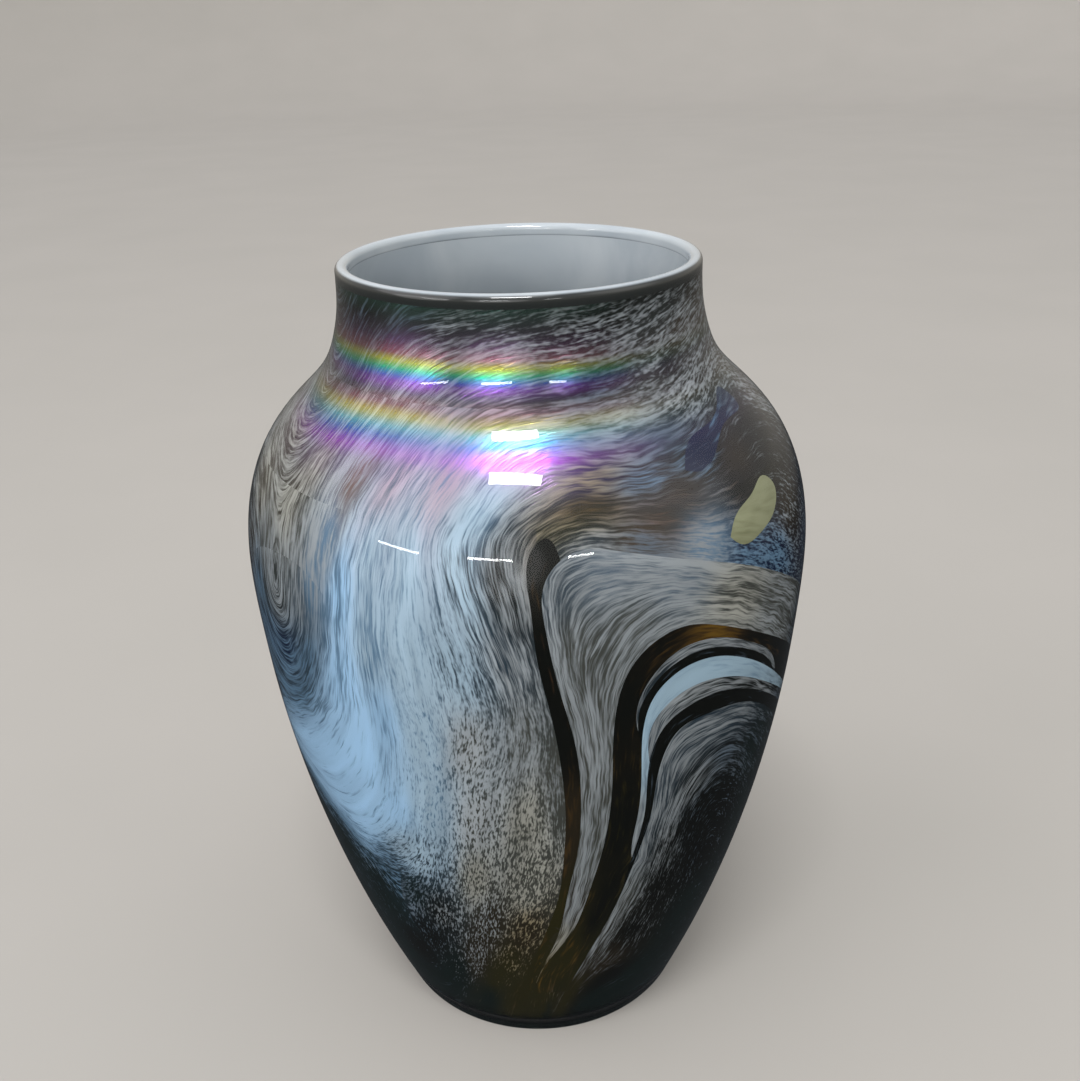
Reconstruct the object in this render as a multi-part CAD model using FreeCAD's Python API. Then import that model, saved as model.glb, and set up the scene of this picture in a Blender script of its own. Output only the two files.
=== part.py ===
import FreeCAD
import Part

import math
import os

# A hand blown art glass vase: a pear shaped body with a short neck, cased in clear glass.
# Under the clear casing lies a thin skin of coloured pieces (trails, arches and fields of frit),
# then a dark amber ground, then a pale opal lining. A pale band is wrapped round the mouth.
#
# Millimetres. The axis of the vase is Z, the foot stands on Z = 0 and the front faces -Y.

# Overall shape of the outside
VASE_HEIGHT = 250.0
NECK_HEIGHT = 28.0
SHOULDER_HEIGHT = 54.0
FOOT_RADIUS = 49.5
BELLY_RADIUS = 85.6
NECK_ROOT_RADIUS = 57.4
MOUTH_RADIUS = 52.1

# How the wall swells from foot to belly, and how the neck draws in: powers of the share left to go
BODY_SWELL = 1.9
NECK_DRAW = 2.35
BODY_STEPS = 8
NECK_STEPS = 3
# How the shoulder rolls over: (share of its height, share of the step inwards)
SHOULDER_ROLL = ((0.36, 0.11), (0.59, 0.31), (0.78, 0.61))

# Thickness of each layer of glass, from the outside in
CASING_THICKNESS = 1.6
COLOUR_THICKNESS = 0.5
GROUND_THICKNESS = 0.9
LINING_THICKNESS = 0.8

# The foot: a flat ring to stand on, a rounded heel and a ground hollow in the middle
BOTTOM_THICKNESS = 6.0
HEEL_RADIUS = 4.0
PONTIL_RADIUS = 20.0
PONTIL_DEPTH = 1.6
# How widely the coloured layers and the cavity are rounded at the bottom
BOTTOM_ROUND = 12.0

# The pale band round the mouth
LIP_HEIGHT = 3.6

# The colour work is drawn on the unrolled wall of a vase this tall: degrees round from the front,
# growing to the right, and millimetres up. It is stretched to the height of the vase.
DRAWING_HEIGHT = 250.0
# Heights in the drawing where the dark foot ends, and where the shoulder's and the neck's pieces begin
FOOT_LINE = 28.0
SHAWL_LINE = 198.0
NECK_LINE = 222.0

WALL_THICKNESS = CASING_THICKNESS + COLOUR_THICKNESS + GROUND_THICKNESS + LINING_THICKNESS
LIP_SEAT = VASE_HEIGHT - LIP_HEIGHT
NECK_ROOT_LEVEL = VASE_HEIGHT - NECK_HEIGHT
BELLY_LEVEL = NECK_ROOT_LEVEL - SHOULDER_HEIGHT

# The cuts between coloured pieces run radially, from inside the cavity to outside the belly
CUT_INNER_RADIUS = 0.5 * min(MOUTH_RADIUS, FOOT_RADIUS)
CUT_OUTER_RADIUS = 1.2 * max(BELLY_RADIUS, FOOT_RADIUS, MOUTH_RADIUS)
# How finely an outline is followed when a piece is looked up in it
OUTLINE_SAMPLES = 60

# Outlines of the coloured pieces. Each is a chain of runs that goes once round the piece.
# A run of several points is a smooth cut. A run of one point is a corner that needs no cut,
# because it lies in glass that is already another piece, below the foot line or above the shawl line.
# Pieces are cut out in the order of this list, so an arch keeps only what the smaller arches leave.
RIGHT_FRIT_FAN = [
    [(3, 12), (12.5, 50), (17.5, 70), (21, 90), (23.5, 110), (24.6, 128), (28, 136.5), (34, 138),
     (43, 136), (55, 126), (70, 107), (84, 82), (94, 54), (101, 12)],
]
LOWER_DARK_ARCH = [
    [(25, 50), (19.2, 80), (19.9, 90), (21.9, 110), (22, 130), (24.5, 139), (33, 144.2),
     (42, 141.5), (57, 128.5), (75, 108), (91, 82), (101, 54), (107, 12)],
]
GREY_UNDER_ARCH = [
    [(25, 112), (21.6, 130), (21.8, 140.5), (26, 147.5), (31, 149.6), (38, 148), (52, 137),
     (68, 121), (84, 103), (98, 76), (107, 50), (113, 12)],
]
OPAL_ARCH = [
    [(24, 80), (20.2, 92), (20.4, 110), (20.2, 128), (20.2, 142), (22.2, 150.6), (27, 156), (33, 156.8),
     (41, 152.7), (60, 133), (77, 113), (94, 88), (109, 54), (118, 12)],
]
DARK_ARCH_LINE = [
    [(24, 122), (19.3, 138), (19.2, 147), (21.2, 153), (25.5, 158.4), (31, 160), (38, 157.6), (47, 150.5),
     (57, 136), (60, 118)],
]
GREY_SUB_ARCH = [
    [(24, 128), (18.6, 143), (19, 150), (21.6, 157), (26, 162), (31, 163), (37, 161), (44, 155.7),
     (56, 141), (60, 122)],
]
AMBER_ARCH = [
    [(-5, 12), (2, 49), (7, 61), (10.8, 80), (13.4, 100), (14.4, 125), (14.8, 150), (17.6, 161.5),
     (22, 167), (28, 168.8), (35, 165.8), (49, 155), (65, 140), (84, 118), (102, 88), (116, 52), (125, 12)],
]
CENTRE_PLUME = [
    [(-3, 12), (-1.5, 38), (3.8, 60), (6, 80), (8, 100), (8.4, 118), (7.3, 138), (4, 160), (2.4, 174),
     (2.6, 186), (7, 192), (16, 191.5), (27, 187), (42, 179.5), (56, 169), (71, 155), (88, 134),
     (107, 102), (123, 58), (132, 12)],
]
FIRST_AMBER_LINE = [
    [(-8, 12), (-3, 44), (0, 59), (4, 80), (5.1, 98), (5.4, 114), (4.7, 130), (2.8, 150), (0.7, 167),
     (-0.2, 182), (0.8, 194), (3, 196), (6, 188)],
    [(10, 150)],
    [(11, 115)],
    [(8, 80)],
    [(0, 50)],
]
FRONT_FRIT_FIELD = [
    [(-29, 210), (-26.5, 170), (-24, 140), (-23.5, 115), (-27, 96), (-34, 79), (-36, 62), (-33, 42), (-29, 12)],
    [(9, 12)],
    [(9, 150)],
    [(1.5, 190), (1.5, 210)],
]
NAVY_SPECKLE_FIELD = [
    [(10, 150)],
    [(-2, 210)],
    [(112, 210), (115, 175), (121, 130), (130, 75), (137, 12)],
    [(30, 12)],
]
LEFT_PALE_SWEEP = [
    [(-38, 210), (-38.5, 172), (-42, 151), (-48, 139), (-59, 130.5), (-68.5, 123), (-70, 113), (-64, 103),
     (-55, 97), (-48, 88.5), (-40, 83), (-30, 82.5), (-18, 88)],
    [(-15, 150)],
    [(-15, 210)],
]
LEFT_BLUE_FEATHER = [
    [(-40, 176), (-40, 150), (-52, 130), (-64, 132), (-71, 146), (-73, 162), (-66, 176), (-54, 181),
     (-45, 180), (-40, 176)],
]
SMOKE_DARK_FIELD = [
    [(-20, 210)],
    [(-84, 210), (-88, 165), (-87, 120), (-81, 70), (-76, 12)],
    [(-20, 12)],
]
BACK_FRIT_FAN = [
    [(158, 12), (162, 55), (168, 90), (178, 116), (194, 126), (210, 117), (222, 91), (229, 55), (233, 12)],
]
BACK_DARK_ARCH = [
    [(152, 12), (156, 55), (161, 94), (173, 124), (194, 136), (214, 126), (228, 96), (236, 55), (240, 12)],
]
BACK_OPAL_ARCH = [
    [(148, 12), (151, 55), (155, 95), (168, 131), (194, 146), (219, 134), (234, 101), (242, 55), (246, 12)],
]
CELADON_EYE = [
    [(40, 187.5), (42, 191), (50, 195), (56, 196.6), (58.3, 193), (56, 188.4), (49.5, 185), (42.5, 184.6),
     (40, 187.5)],
]
NAVY_HOOK = [
    [(34.5, 205), (37, 208.3), (46, 211.4), (58, 214.6), (65, 215.5), (66, 213), (59, 210.6), (47, 207.4),
     (38, 203.8), (34.5, 205)],
]

# What is cut from the wall between the foot line and the shawl line, in order, and what is left over
WALL_PIECES = (
    ("celadon_eye", CELADON_EYE),
    ("right_frit_fan", RIGHT_FRIT_FAN),
    ("lower_dark_arch", LOWER_DARK_ARCH),
    ("grey_under_arch", GREY_UNDER_ARCH),
    ("opal_arch", OPAL_ARCH),
    ("dark_arch_line", DARK_ARCH_LINE),
    ("grey_sub_arch", GREY_SUB_ARCH),
    ("amber_arch", AMBER_ARCH),
    ("centre_plume", CENTRE_PLUME),
    ("first_amber_line", FIRST_AMBER_LINE),
    ("front_frit_field", FRONT_FRIT_FIELD),
    ("navy_speckle_field", NAVY_SPECKLE_FIELD),
    ("left_pale_sweep", LEFT_PALE_SWEEP),
    ("left_blue_feather", LEFT_BLUE_FEATHER),
    ("smoke_dark_field", SMOKE_DARK_FIELD),
    ("back_frit_fan", BACK_FRIT_FAN),
    ("back_dark_arch", BACK_DARK_ARCH),
    ("back_opal_arch", BACK_OPAL_ARCH),
)
WALL_REST = "back_frit_field"
# The same for the shoulder, between the shawl line and the neck line
SHOULDER_PIECES = (("navy_hook", NAVY_HOOK),)
SHOULDER_REST = "shoulder_shawl"


# ---- profile of the wall ----

def outside_stations():
    """Points (radius, height) up the outside of the wall, from the sharp corner of the foot to the lip."""
    stations = []
    for step in range(BODY_STEPS + 1):
        share = step / BODY_STEPS
        swell = 1 - (1 - share) ** BODY_SWELL
        stations.append((FOOT_RADIUS + (BELLY_RADIUS - FOOT_RADIUS) * swell, BELLY_LEVEL * share))
    for up, inwards in SHOULDER_ROLL:
        radius = BELLY_RADIUS - (BELLY_RADIUS - NECK_ROOT_RADIUS) * inwards
        stations.append((radius, BELLY_LEVEL + SHOULDER_HEIGHT * up))
    for step in range(NECK_STEPS + 1):
        share = step / NECK_STEPS
        radius = MOUTH_RADIUS + (NECK_ROOT_RADIUS - MOUTH_RADIUS) * (1 - share) ** NECK_DRAW
        stations.append((radius, NECK_ROOT_LEVEL + (LIP_SEAT - NECK_ROOT_LEVEL) * share))
    return stations


def smooth_curve(points):
    curve = Part.BSplineCurve()
    curve.interpolate(points)
    return curve


def wall_direction(outside, parameter):
    """The direction up the outside of the wall."""
    direction = outside.tangent(parameter)[0]
    return direction if direction.z > 0 else direction * -1


def sunk_stations(depth):
    """Points up a surface that lies at a depth under the outside, square to it, and the wall's directions."""
    points = [FreeCAD.Vector(radius, 0, height) for radius, height in outside_stations()]
    outside = smooth_curve(points)
    sunk = []
    for point in points:
        up = wall_direction(outside, outside.parameter(point))
        sunk.append((point + FreeCAD.Vector(-up.z, 0, up.x) * depth, up))
    return sunk


def layer_edges(depth, floor, corner_radius):
    """The edges of a surface at a depth under the outside: its floor from the axis, its round and its wall."""
    above = [(point, up) for point, up in sunk_stations(depth) if point.z > floor + corner_radius]
    lowest, up = above[0]
    sharp_corner = lowest - up * ((lowest.z - floor) / up.z)
    turn = math.acos(up.x)
    run = corner_radius * math.tan(turn / 2)
    floor_end = FreeCAD.Vector(sharp_corner.x - run, 0, floor)
    wall_start = sharp_corner + up * run
    half_turn = FreeCAD.Vector(math.sin(turn / 2), 0, 1 - math.cos(turn / 2))
    round_middle = floor_end + half_turn * corner_radius
    wall = [wall_start] + [point for point, _ in above[:-1] if point.z > wall_start.z + 1]
    wall.append(FreeCAD.Vector(MOUTH_RADIUS - depth, 0, LIP_SEAT))
    return [
        Part.makeLine(FreeCAD.Vector(0, 0, floor), floor_end),
        Part.Arc(floor_end, round_middle, wall_start).toShape(),
        smooth_curve(wall).toShape(),
    ]


def turned(edges):
    """The solid of revolution about the axis of the vase of a closed outline in the XZ plane."""
    face = Part.Face(Part.Wire(Part.__sortEdges__(edges)))
    return face.revolve(FreeCAD.Vector(0, 0, 0), FreeCAD.Vector(0, 0, 1), 360)


def layer(outer, inner):
    """The cup of glass between two surfaces, open at the seat of the lip."""
    axis_line = Part.makeLine(outer[0].Vertexes[0].Point, inner[0].Vertexes[0].Point)
    seat = Part.makeLine(outer[-1].Vertexes[-1].Point, inner[-1].Vertexes[-1].Point)
    return turned(outer + inner + [axis_line, seat])


# ---- cutting the coloured skin into its pieces ----

def drawn_level(height):
    """The height on the vase of a height in the drawing."""
    return height * VASE_HEIGHT / DRAWING_HEIGHT


def round_the_vase(run, radius):
    """The points of a run of the drawing, at a radius from the axis."""
    points = []
    for degrees, height in run:
        angle = math.radians(degrees)
        points.append(FreeCAD.Vector(radius * math.sin(angle), -radius * math.cos(angle), drawn_level(height)))
    return points


def radial_cut(run):
    """A cut that runs radially in from a smooth curve through the points of a run."""
    on_belly = round_the_vase(run, BELLY_RADIUS)
    along = [0.0]
    for start, end in zip(on_belly, on_belly[1:]):
        along.append(along[-1] + start.distanceToPoint(end))
    edges = []
    for radius in (CUT_INNER_RADIUS, CUT_OUTER_RADIUS):
        curve = Part.BSplineCurve()
        curve.interpolate(Points=round_the_vase(run, radius), Parameters=along)
        edges.append(curve.toShape())
    return Part.makeRuledSurface(edges[0], edges[1])


def unrolled(point, near):
    """Where a point lies on the unrolled wall: degrees round, in the turn nearest to an angle, and height."""
    degrees = math.degrees(math.atan2(point.x, -point.y))
    return degrees + 360 * round((near - degrees) / 360), point.z


def closed_outline(runs, cuts):
    """The corners of a fine polygon that follows an outline on the unrolled wall."""
    cuts = list(cuts)
    corners = []
    for run in runs:
        if len(run) == 1:
            degrees, height = run[0]
            corners.append((degrees, drawn_level(height)))
            continue
        near = run[0][0]
        for point in cuts.pop(0).Edges[0].discretize(Number=OUTLINE_SAMPLES):
            corners.append(unrolled(point, near))
            near = corners[-1][0]
    return corners


def inside_point(solid):
    """A point well inside one of the large faces of a thin solid."""
    points, triangles = solid.tessellate(1.0)
    largest = max(triangles, key=lambda t: (points[t[1]] - points[t[0]]).cross(points[t[2]] - points[t[0]]).Length)
    return (points[largest[0]] + points[largest[1]] + points[largest[2]]) * (1 / 3)


def lies_in(solid, corners):
    """Whether a piece of the skin lies in a polygon on the unrolled wall."""
    middle = sum(degrees for degrees, _ in corners) / len(corners)
    x, y = unrolled(inside_point(solid), middle)
    inside = False
    for (x1, y1), (x2, y2) in zip(corners, corners[1:] + corners[:1]):
        if (y1 > y) != (y2 > y) and x < x1 + (y - y1) * (x2 - x1) / (y2 - y1):
            inside = not inside
    return inside


def cut_out(solids, runs):
    """Cuts an outline through some solids. Returns what lies inside it and what lies outside."""
    cuts = [radial_cut(run) for run in runs if len(run) > 1]
    corners = closed_outline(runs, cuts)
    inside, outside = [], []
    for solid in solids:
        pieces = solid.generalFuse(cuts)[0].Solids
        for piece in pieces:
            (inside if lies_in(piece, corners) else outside).append(piece)
    return inside, outside


def skin_between(skin, low, high):
    """The ring of the coloured skin between two heights of the drawing."""
    base = FreeCAD.Vector(0, 0, drawn_level(low))
    return skin.common(Part.makeCylinder(CUT_OUTER_RADIUS, drawn_level(high) - drawn_level(low), base))


def inlay(ring, pieces, rest):
    """Cuts a ring of the skin into its pieces, in order. What is left over is a piece too."""
    found = {}
    left = ring.Solids
    for name, runs in pieces:
        found[name], left = cut_out(left, runs)
    found[rest] = left
    return found


# ---- the pieces of the vase ----

def clear_casing(outside, inner):
    """The last gather of clear glass, with the ground hollow where the pontil was."""
    sphere_radius = (PONTIL_RADIUS ** 2 + PONTIL_DEPTH ** 2) / (2 * PONTIL_DEPTH)
    hollow = Part.makeSphere(sphere_radius, FreeCAD.Vector(0, 0, PONTIL_DEPTH - sphere_radius))
    return layer(outside, inner).cut(hollow)


def lip_wrap():
    """The pale band round the mouth: straight sides and a fire-polished half round on top."""
    half = WALL_THICKNESS / 2
    outer, inner = MOUTH_RADIUS, MOUTH_RADIUS - WALL_THICKNESS
    shoulder = VASE_HEIGHT - half
    outer_seat = FreeCAD.Vector(outer, 0, LIP_SEAT)
    outer_top = FreeCAD.Vector(outer, 0, shoulder)
    inner_top = FreeCAD.Vector(inner, 0, shoulder)
    inner_seat = FreeCAD.Vector(inner, 0, LIP_SEAT)
    crest = FreeCAD.Vector(MOUTH_RADIUS - half, 0, VASE_HEIGHT)
    return turned([
        Part.makeLine(outer_seat, outer_top),
        Part.Arc(outer_top, crest, inner_top).toShape(),
        Part.makeLine(inner_top, inner_seat),
        Part.makeLine(inner_seat, outer_seat),
    ])


def colour_work(skin):
    """The coloured pieces of the skin: name of the piece, and its solids."""
    found = {"dark_foot": skin_between(skin, 0, FOOT_LINE).Solids}
    found.update(inlay(skin_between(skin, FOOT_LINE, SHAWL_LINE), WALL_PIECES, WALL_REST))
    found.update(inlay(skin_between(skin, SHAWL_LINE, NECK_LINE), SHOULDER_PIECES, SHOULDER_REST))
    found["neck_band"] = skin_between(skin, NECK_LINE, DRAWING_HEIGHT).Solids
    return found


def vase():
    """Every piece of the vase: its name and its solids."""
    surfaces = [layer_edges(0, 0, HEEL_RADIUS)]
    sunk = 0.0
    for thickness in (CASING_THICKNESS, COLOUR_THICKNESS, GROUND_THICKNESS, LINING_THICKNESS):
        under_casing = sunk + thickness - CASING_THICKNESS
        sunk += thickness
        surfaces.append(layer_edges(sunk, BOTTOM_THICKNESS + under_casing, BOTTOM_ROUND - under_casing))
    outside, colour_outside, ground_outside, lining_outside, cavity = surfaces
    pieces = {
        "clear_casing": clear_casing(outside, colour_outside).Solids,
        "amber_ground": layer(ground_outside, lining_outside).Solids,
        "opal_lining": layer(lining_outside, cavity).Solids,
        "lip_wrap": lip_wrap().Solids,
    }
    pieces.update(colour_work(layer(colour_outside, ground_outside)))
    return pieces


os.makedirs("parts", exist_ok=True)
for name, solids in vase().items():
    if len(solids) != 1:
        raise ValueError(f"{name} should be one solid, and it is {len(solids)}")
    solids[0].exportStep(f"parts/{name}.step")
    print(f"{name}: {solids[0].Volume:.1f} mm3")
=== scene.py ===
import math

import bmesh
import bpy
import numpy as np
from mathutils import Matrix, Vector
from mathutils.geometry import delaunay_2d_cdt
from mathutils.kdtree import KDTree


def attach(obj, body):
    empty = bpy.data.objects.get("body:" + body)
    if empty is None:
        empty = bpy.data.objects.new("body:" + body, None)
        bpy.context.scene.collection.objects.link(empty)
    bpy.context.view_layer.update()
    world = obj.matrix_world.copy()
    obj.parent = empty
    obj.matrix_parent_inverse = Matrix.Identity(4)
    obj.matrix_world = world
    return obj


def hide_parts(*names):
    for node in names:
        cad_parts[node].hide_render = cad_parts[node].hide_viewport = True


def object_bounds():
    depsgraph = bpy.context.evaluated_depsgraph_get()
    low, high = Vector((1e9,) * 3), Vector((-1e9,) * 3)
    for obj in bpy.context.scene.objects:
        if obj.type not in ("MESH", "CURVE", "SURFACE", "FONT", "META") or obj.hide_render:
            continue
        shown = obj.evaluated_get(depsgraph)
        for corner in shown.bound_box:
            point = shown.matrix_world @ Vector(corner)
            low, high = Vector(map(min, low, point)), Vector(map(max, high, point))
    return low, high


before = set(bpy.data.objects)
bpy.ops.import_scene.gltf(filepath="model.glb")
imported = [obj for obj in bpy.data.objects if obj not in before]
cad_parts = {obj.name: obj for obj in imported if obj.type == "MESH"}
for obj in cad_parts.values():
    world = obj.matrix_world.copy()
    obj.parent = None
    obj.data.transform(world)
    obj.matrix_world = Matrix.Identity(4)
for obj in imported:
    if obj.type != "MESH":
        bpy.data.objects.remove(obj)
cad_low, cad_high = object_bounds()

# Drawings and profiles are in millimetres, the scene is in metres.
MM = 0.001

# ---- the blown form: the same driving sizes as the CAD model ----

VASE_HEIGHT = (cad_high.z - cad_low.z) / MM
NECK_HEIGHT = 28.0
SHOULDER_HEIGHT = 54.0
FOOT_RADIUS = 49.5
BELLY_RADIUS = 85.6
NECK_ROOT_RADIUS = 57.4
MOUTH_RADIUS = 52.1
BODY_SWELL = 1.9
NECK_DRAW = 2.35
BODY_STEPS = 8
NECK_STEPS = 3
SHOULDER_ROLL = ((0.36, 0.11), (0.59, 0.31), (0.78, 0.61))
CASING_THICKNESS = 1.6
COLOUR_THICKNESS = 0.5
GROUND_THICKNESS = 0.9
LINING_THICKNESS = 0.8
BOTTOM_THICKNESS = 6.0
HEEL_RADIUS = 4.0
PONTIL_RADIUS = 20.0
PONTIL_DEPTH = 1.6
BOTTOM_ROUND = 12.0
LIP_HEIGHT = 3.6
FOOT_LINE = 28.0
SHAWL_LINE = 198.0
NECK_LINE = 222.0

WALL_THICKNESS = CASING_THICKNESS + COLOUR_THICKNESS + GROUND_THICKNESS + LINING_THICKNESS
LIP_SEAT = VASE_HEIGHT - LIP_HEIGHT
NECK_ROOT_LEVEL = VASE_HEIGHT - NECK_HEIGHT
BELLY_LEVEL = NECK_ROOT_LEVEL - SHOULDER_HEIGHT
# The coloured skin stands this far into the clear casing, so that no film of air shows between them
SEATING = 0.04
# One degree round the belly, the scale of the drawing on the unrolled wall
DEGREE = math.radians(1) * BELLY_RADIUS


def outside_stations():
    """Points (radius, height) up the outside of the wall, from the sharp corner of the foot to the lip."""
    stations = []
    for step in range(BODY_STEPS + 1):
        share = step / BODY_STEPS
        swell = 1 - (1 - share) ** BODY_SWELL
        stations.append((FOOT_RADIUS + (BELLY_RADIUS - FOOT_RADIUS) * swell, BELLY_LEVEL * share))
    for up, inwards in SHOULDER_ROLL:
        radius = BELLY_RADIUS - (BELLY_RADIUS - NECK_ROOT_RADIUS) * inwards
        stations.append((radius, BELLY_LEVEL + SHOULDER_HEIGHT * up))
    for step in range(NECK_STEPS + 1):
        share = step / NECK_STEPS
        radius = MOUTH_RADIUS + (NECK_ROOT_RADIUS - MOUTH_RADIUS) * (1 - share) ** NECK_DRAW
        stations.append((radius, NECK_ROOT_LEVEL + (LIP_SEAT - NECK_ROOT_LEVEL) * share))
    return np.array(stations)


def smooth_line(points, count):
    """Evenly spread points on a natural cubic spline through some points."""
    points = np.asarray(points, float)
    at = np.concatenate([[0], np.cumsum(np.linalg.norm(np.diff(points, axis=0), axis=1))])
    gap = np.diff(at)[:, None]
    n = len(points)
    system = np.eye(n)
    wanted = np.zeros((n, points.shape[1]))
    slopes = np.diff(points, axis=0) / gap
    for i in range(1, n - 1):
        system[i, i - 1:i + 2] = gap[i - 1, 0], 2 * (gap[i - 1, 0] + gap[i, 0]), gap[i, 0]
        wanted[i] = 6 * (slopes[i] - slopes[i - 1])
    bend = np.linalg.solve(system, wanted)
    along = np.linspace(0, at[-1], count)
    i = np.clip(np.searchsorted(at, along, side="right") - 1, 0, n - 2)
    h, a, b = gap[i], (at[i + 1] - along)[:, None], (along - at[i])[:, None]
    return (
        bend[i] * a ** 3 / (6 * h) + bend[i + 1] * b ** 3 / (6 * h)
        + (points[i] / h - bend[i] * h / 6) * a + (points[i + 1] / h - bend[i + 1] * h / 6) * b
    )


WALL_SAMPLES = 3000
outside_wall = smooth_line(outside_stations(), WALL_SAMPLES)
wall_upwards = np.gradient(outside_wall, axis=0)
wall_upwards /= np.linalg.norm(wall_upwards, axis=1)[:, None]


def sunk_wall(depth):
    """The wall's profile (radius, height) at a depth under the outside, square to it."""
    return outside_wall + depth * np.column_stack([-wall_upwards[:, 1], wall_upwards[:, 0]])


def wall_radius(depth, heights):
    wall = sunk_wall(depth)
    return np.interp(heights, wall[:, 1], wall[:, 0])


def cup_profile(depth, floor, corner_radius, steps=120, corner_steps=12):
    """A layer's profile from the axis along its floor, round its corner and up to the seat of the lip."""
    inner = sunk_wall(depth + corner_radius)
    level = floor + corner_radius
    centre = np.array([np.interp(level, inner[:, 1], inner[:, 0]), level])
    tangent = np.array([np.interp(level, inner[:, 1], wall_upwards[:, k]) for k in (0, 1)])
    last_turn = math.atan2(-tangent[0], tangent[1])
    corner = [
        centre + corner_radius * np.array([math.cos(turn), math.sin(turn)])
        for turn in np.linspace(-math.pi / 2, last_turn, corner_steps)
    ]
    heights = np.linspace(corner[-1][1], LIP_SEAT, steps)[1:]
    wall = np.column_stack([wall_radius(depth, heights), heights])
    wall[-1] = MOUTH_RADIUS - depth, LIP_SEAT
    return np.vstack([[[0, floor]], corner, wall])


# ---- turned glass: a profile carried round the axis by Geometry Nodes ----

SEGMENTS = 256


def new_tree(name, inputs):
    """A geometry node tree with a geometry input, some named inputs and a geometry output."""
    tree = bpy.data.node_groups.new(name, "GeometryNodeTree")
    tree.interface.new_socket("Geometry", in_out="INPUT", socket_type="NodeSocketGeometry")
    for label, kind in inputs:
        tree.interface.new_socket(label, in_out="INPUT", socket_type=kind)
    tree.interface.new_socket("Geometry", in_out="OUTPUT", socket_type="NodeSocketGeometry")
    return tree


def add_node(tree, kind, settings=None, **links):
    """Adds a node. Settings are its properties; each link or value is given by its input's name."""
    node = tree.nodes.new(kind)
    for key, value in (settings or {}).items():
        setattr(node, key, value)
    for key, value in links.items():
        wire(tree, node, key.replace("_", " "), value)
    return node


def wire(tree, node, key, value):
    """Feeds a node's input, given by name or number, from a socket or with a value."""
    socket = node.inputs[key]
    if isinstance(value, bpy.types.NodeSocket):
        tree.links.new(value, socket)
    else:
        socket.default_value = value


def maths(tree, operation, *values):
    node = add_node(tree, "ShaderNodeMath", {"operation": operation})
    for i, value in enumerate(values):
        wire(tree, node, i, value)
    return node.outputs[0]


def lathe_tree():
    """Carries the points of a profile in the XZ plane round the Z axis."""
    tree = new_tree("lathe", [
        ("Segments", "NodeSocketInt"), ("Stations", "NodeSocketInt"), ("Finish", "NodeSocketMaterial"),
    ])
    given = add_node(tree, "NodeGroupInput")
    rounds = maths(tree, "ADD", given.outputs["Segments"], 1.0)
    grid = add_node(tree, "GeometryNodeMeshGrid")
    wire(tree, grid, "Vertices X", rounds)
    wire(tree, grid, "Vertices Y", given.outputs["Stations"])
    index = add_node(tree, "GeometryNodeInputIndex").outputs[0]
    station = maths(tree, "MODULO", index, given.outputs["Stations"])
    step = maths(tree, "FLOOR", maths(tree, "DIVIDE", index, given.outputs["Stations"]))
    turn = maths(tree, "MULTIPLY", maths(tree, "DIVIDE", step, given.outputs["Segments"]), 2 * math.pi)
    sampling = {"data_type": "FLOAT_VECTOR", "domain": "POINT"}
    profile_point = add_node(tree, "GeometryNodeSampleIndex", sampling)
    wire(tree, profile_point, "Geometry", given.outputs["Geometry"])
    wire(tree, profile_point, "Value", add_node(tree, "GeometryNodeInputPosition").outputs[0])
    wire(tree, profile_point, "Index", station)
    turned = add_node(tree, "ShaderNodeVectorRotate", {"rotation_type": "Z_AXIS"})
    wire(tree, turned, "Vector", profile_point.outputs["Value"])
    wire(tree, turned, "Angle", turn)
    placed = add_node(tree, "GeometryNodeSetPosition")
    wire(tree, placed, "Geometry", grid.outputs["Mesh"])
    wire(tree, placed, "Position", turned.outputs[0])
    merged = add_node(tree, "GeometryNodeMergeByDistance", Distance=1e-6)
    wire(tree, merged, "Geometry", placed.outputs[0])
    real = add_node(tree, "GeometryNodeRealizeInstances")
    wire(tree, real, "Geometry", merged.outputs[0])
    finish = add_node(tree, "GeometryNodeSetMaterial")
    wire(tree, finish, "Geometry", real.outputs[0])
    wire(tree, finish, "Material", given.outputs["Finish"])
    out = add_node(tree, "NodeGroupOutput")
    wire(tree, out, "Geometry", finish.outputs[0])
    return tree


def run_tree(name, mesh, tree, values):
    """A plain mesh object of what a geometry node tree makes of a mesh, with its inputs set by label."""
    source = bpy.data.objects.new(name + "_source", mesh)
    bpy.context.scene.collection.objects.link(source)
    modifier = source.modifiers.new("tree", "NODES")
    modifier.node_group = tree
    for item in tree.interface.items_tree:
        if item.in_out == "INPUT" and item.name in values:
            modifier[item.identifier] = values[item.name]
    bpy.context.view_layer.update()
    graph = bpy.context.evaluated_depsgraph_get()
    made = bpy.data.meshes.new_from_object(source.evaluated_get(graph), depsgraph=graph)
    source.modifiers.clear()
    bpy.data.objects.remove(source)
    made.name = name
    return link(bpy.data.objects.new(name, made))


def link(piece):
    bpy.context.scene.collection.objects.link(piece)
    return piece


def face_outwards(mesh):
    """Turns a closed mesh's faces so that they point out of it."""
    work = bmesh.new()
    work.from_mesh(mesh)
    bmesh.ops.remove_doubles(work, verts=work.verts, dist=1e-7)
    bmesh.ops.recalc_face_normals(work, faces=work.faces)
    work.to_mesh(mesh)
    work.free()


def turned_piece(name, profile, finish):
    """A smooth closed piece turned from a profile (radius, height) in millimetres."""
    points = [(radius * MM, 0, height * MM) for radius, height in profile]
    line = bpy.data.meshes.new(name + "_profile")
    line.from_pydata(points, [(i, i + 1) for i in range(len(points) - 1)], [])
    piece = run_tree(name, line, LATHE, {"Segments": SEGMENTS, "Stations": len(points), "Finish": finish})
    face_outwards(piece.data)
    smooth_over(piece.data)
    return piece


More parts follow.
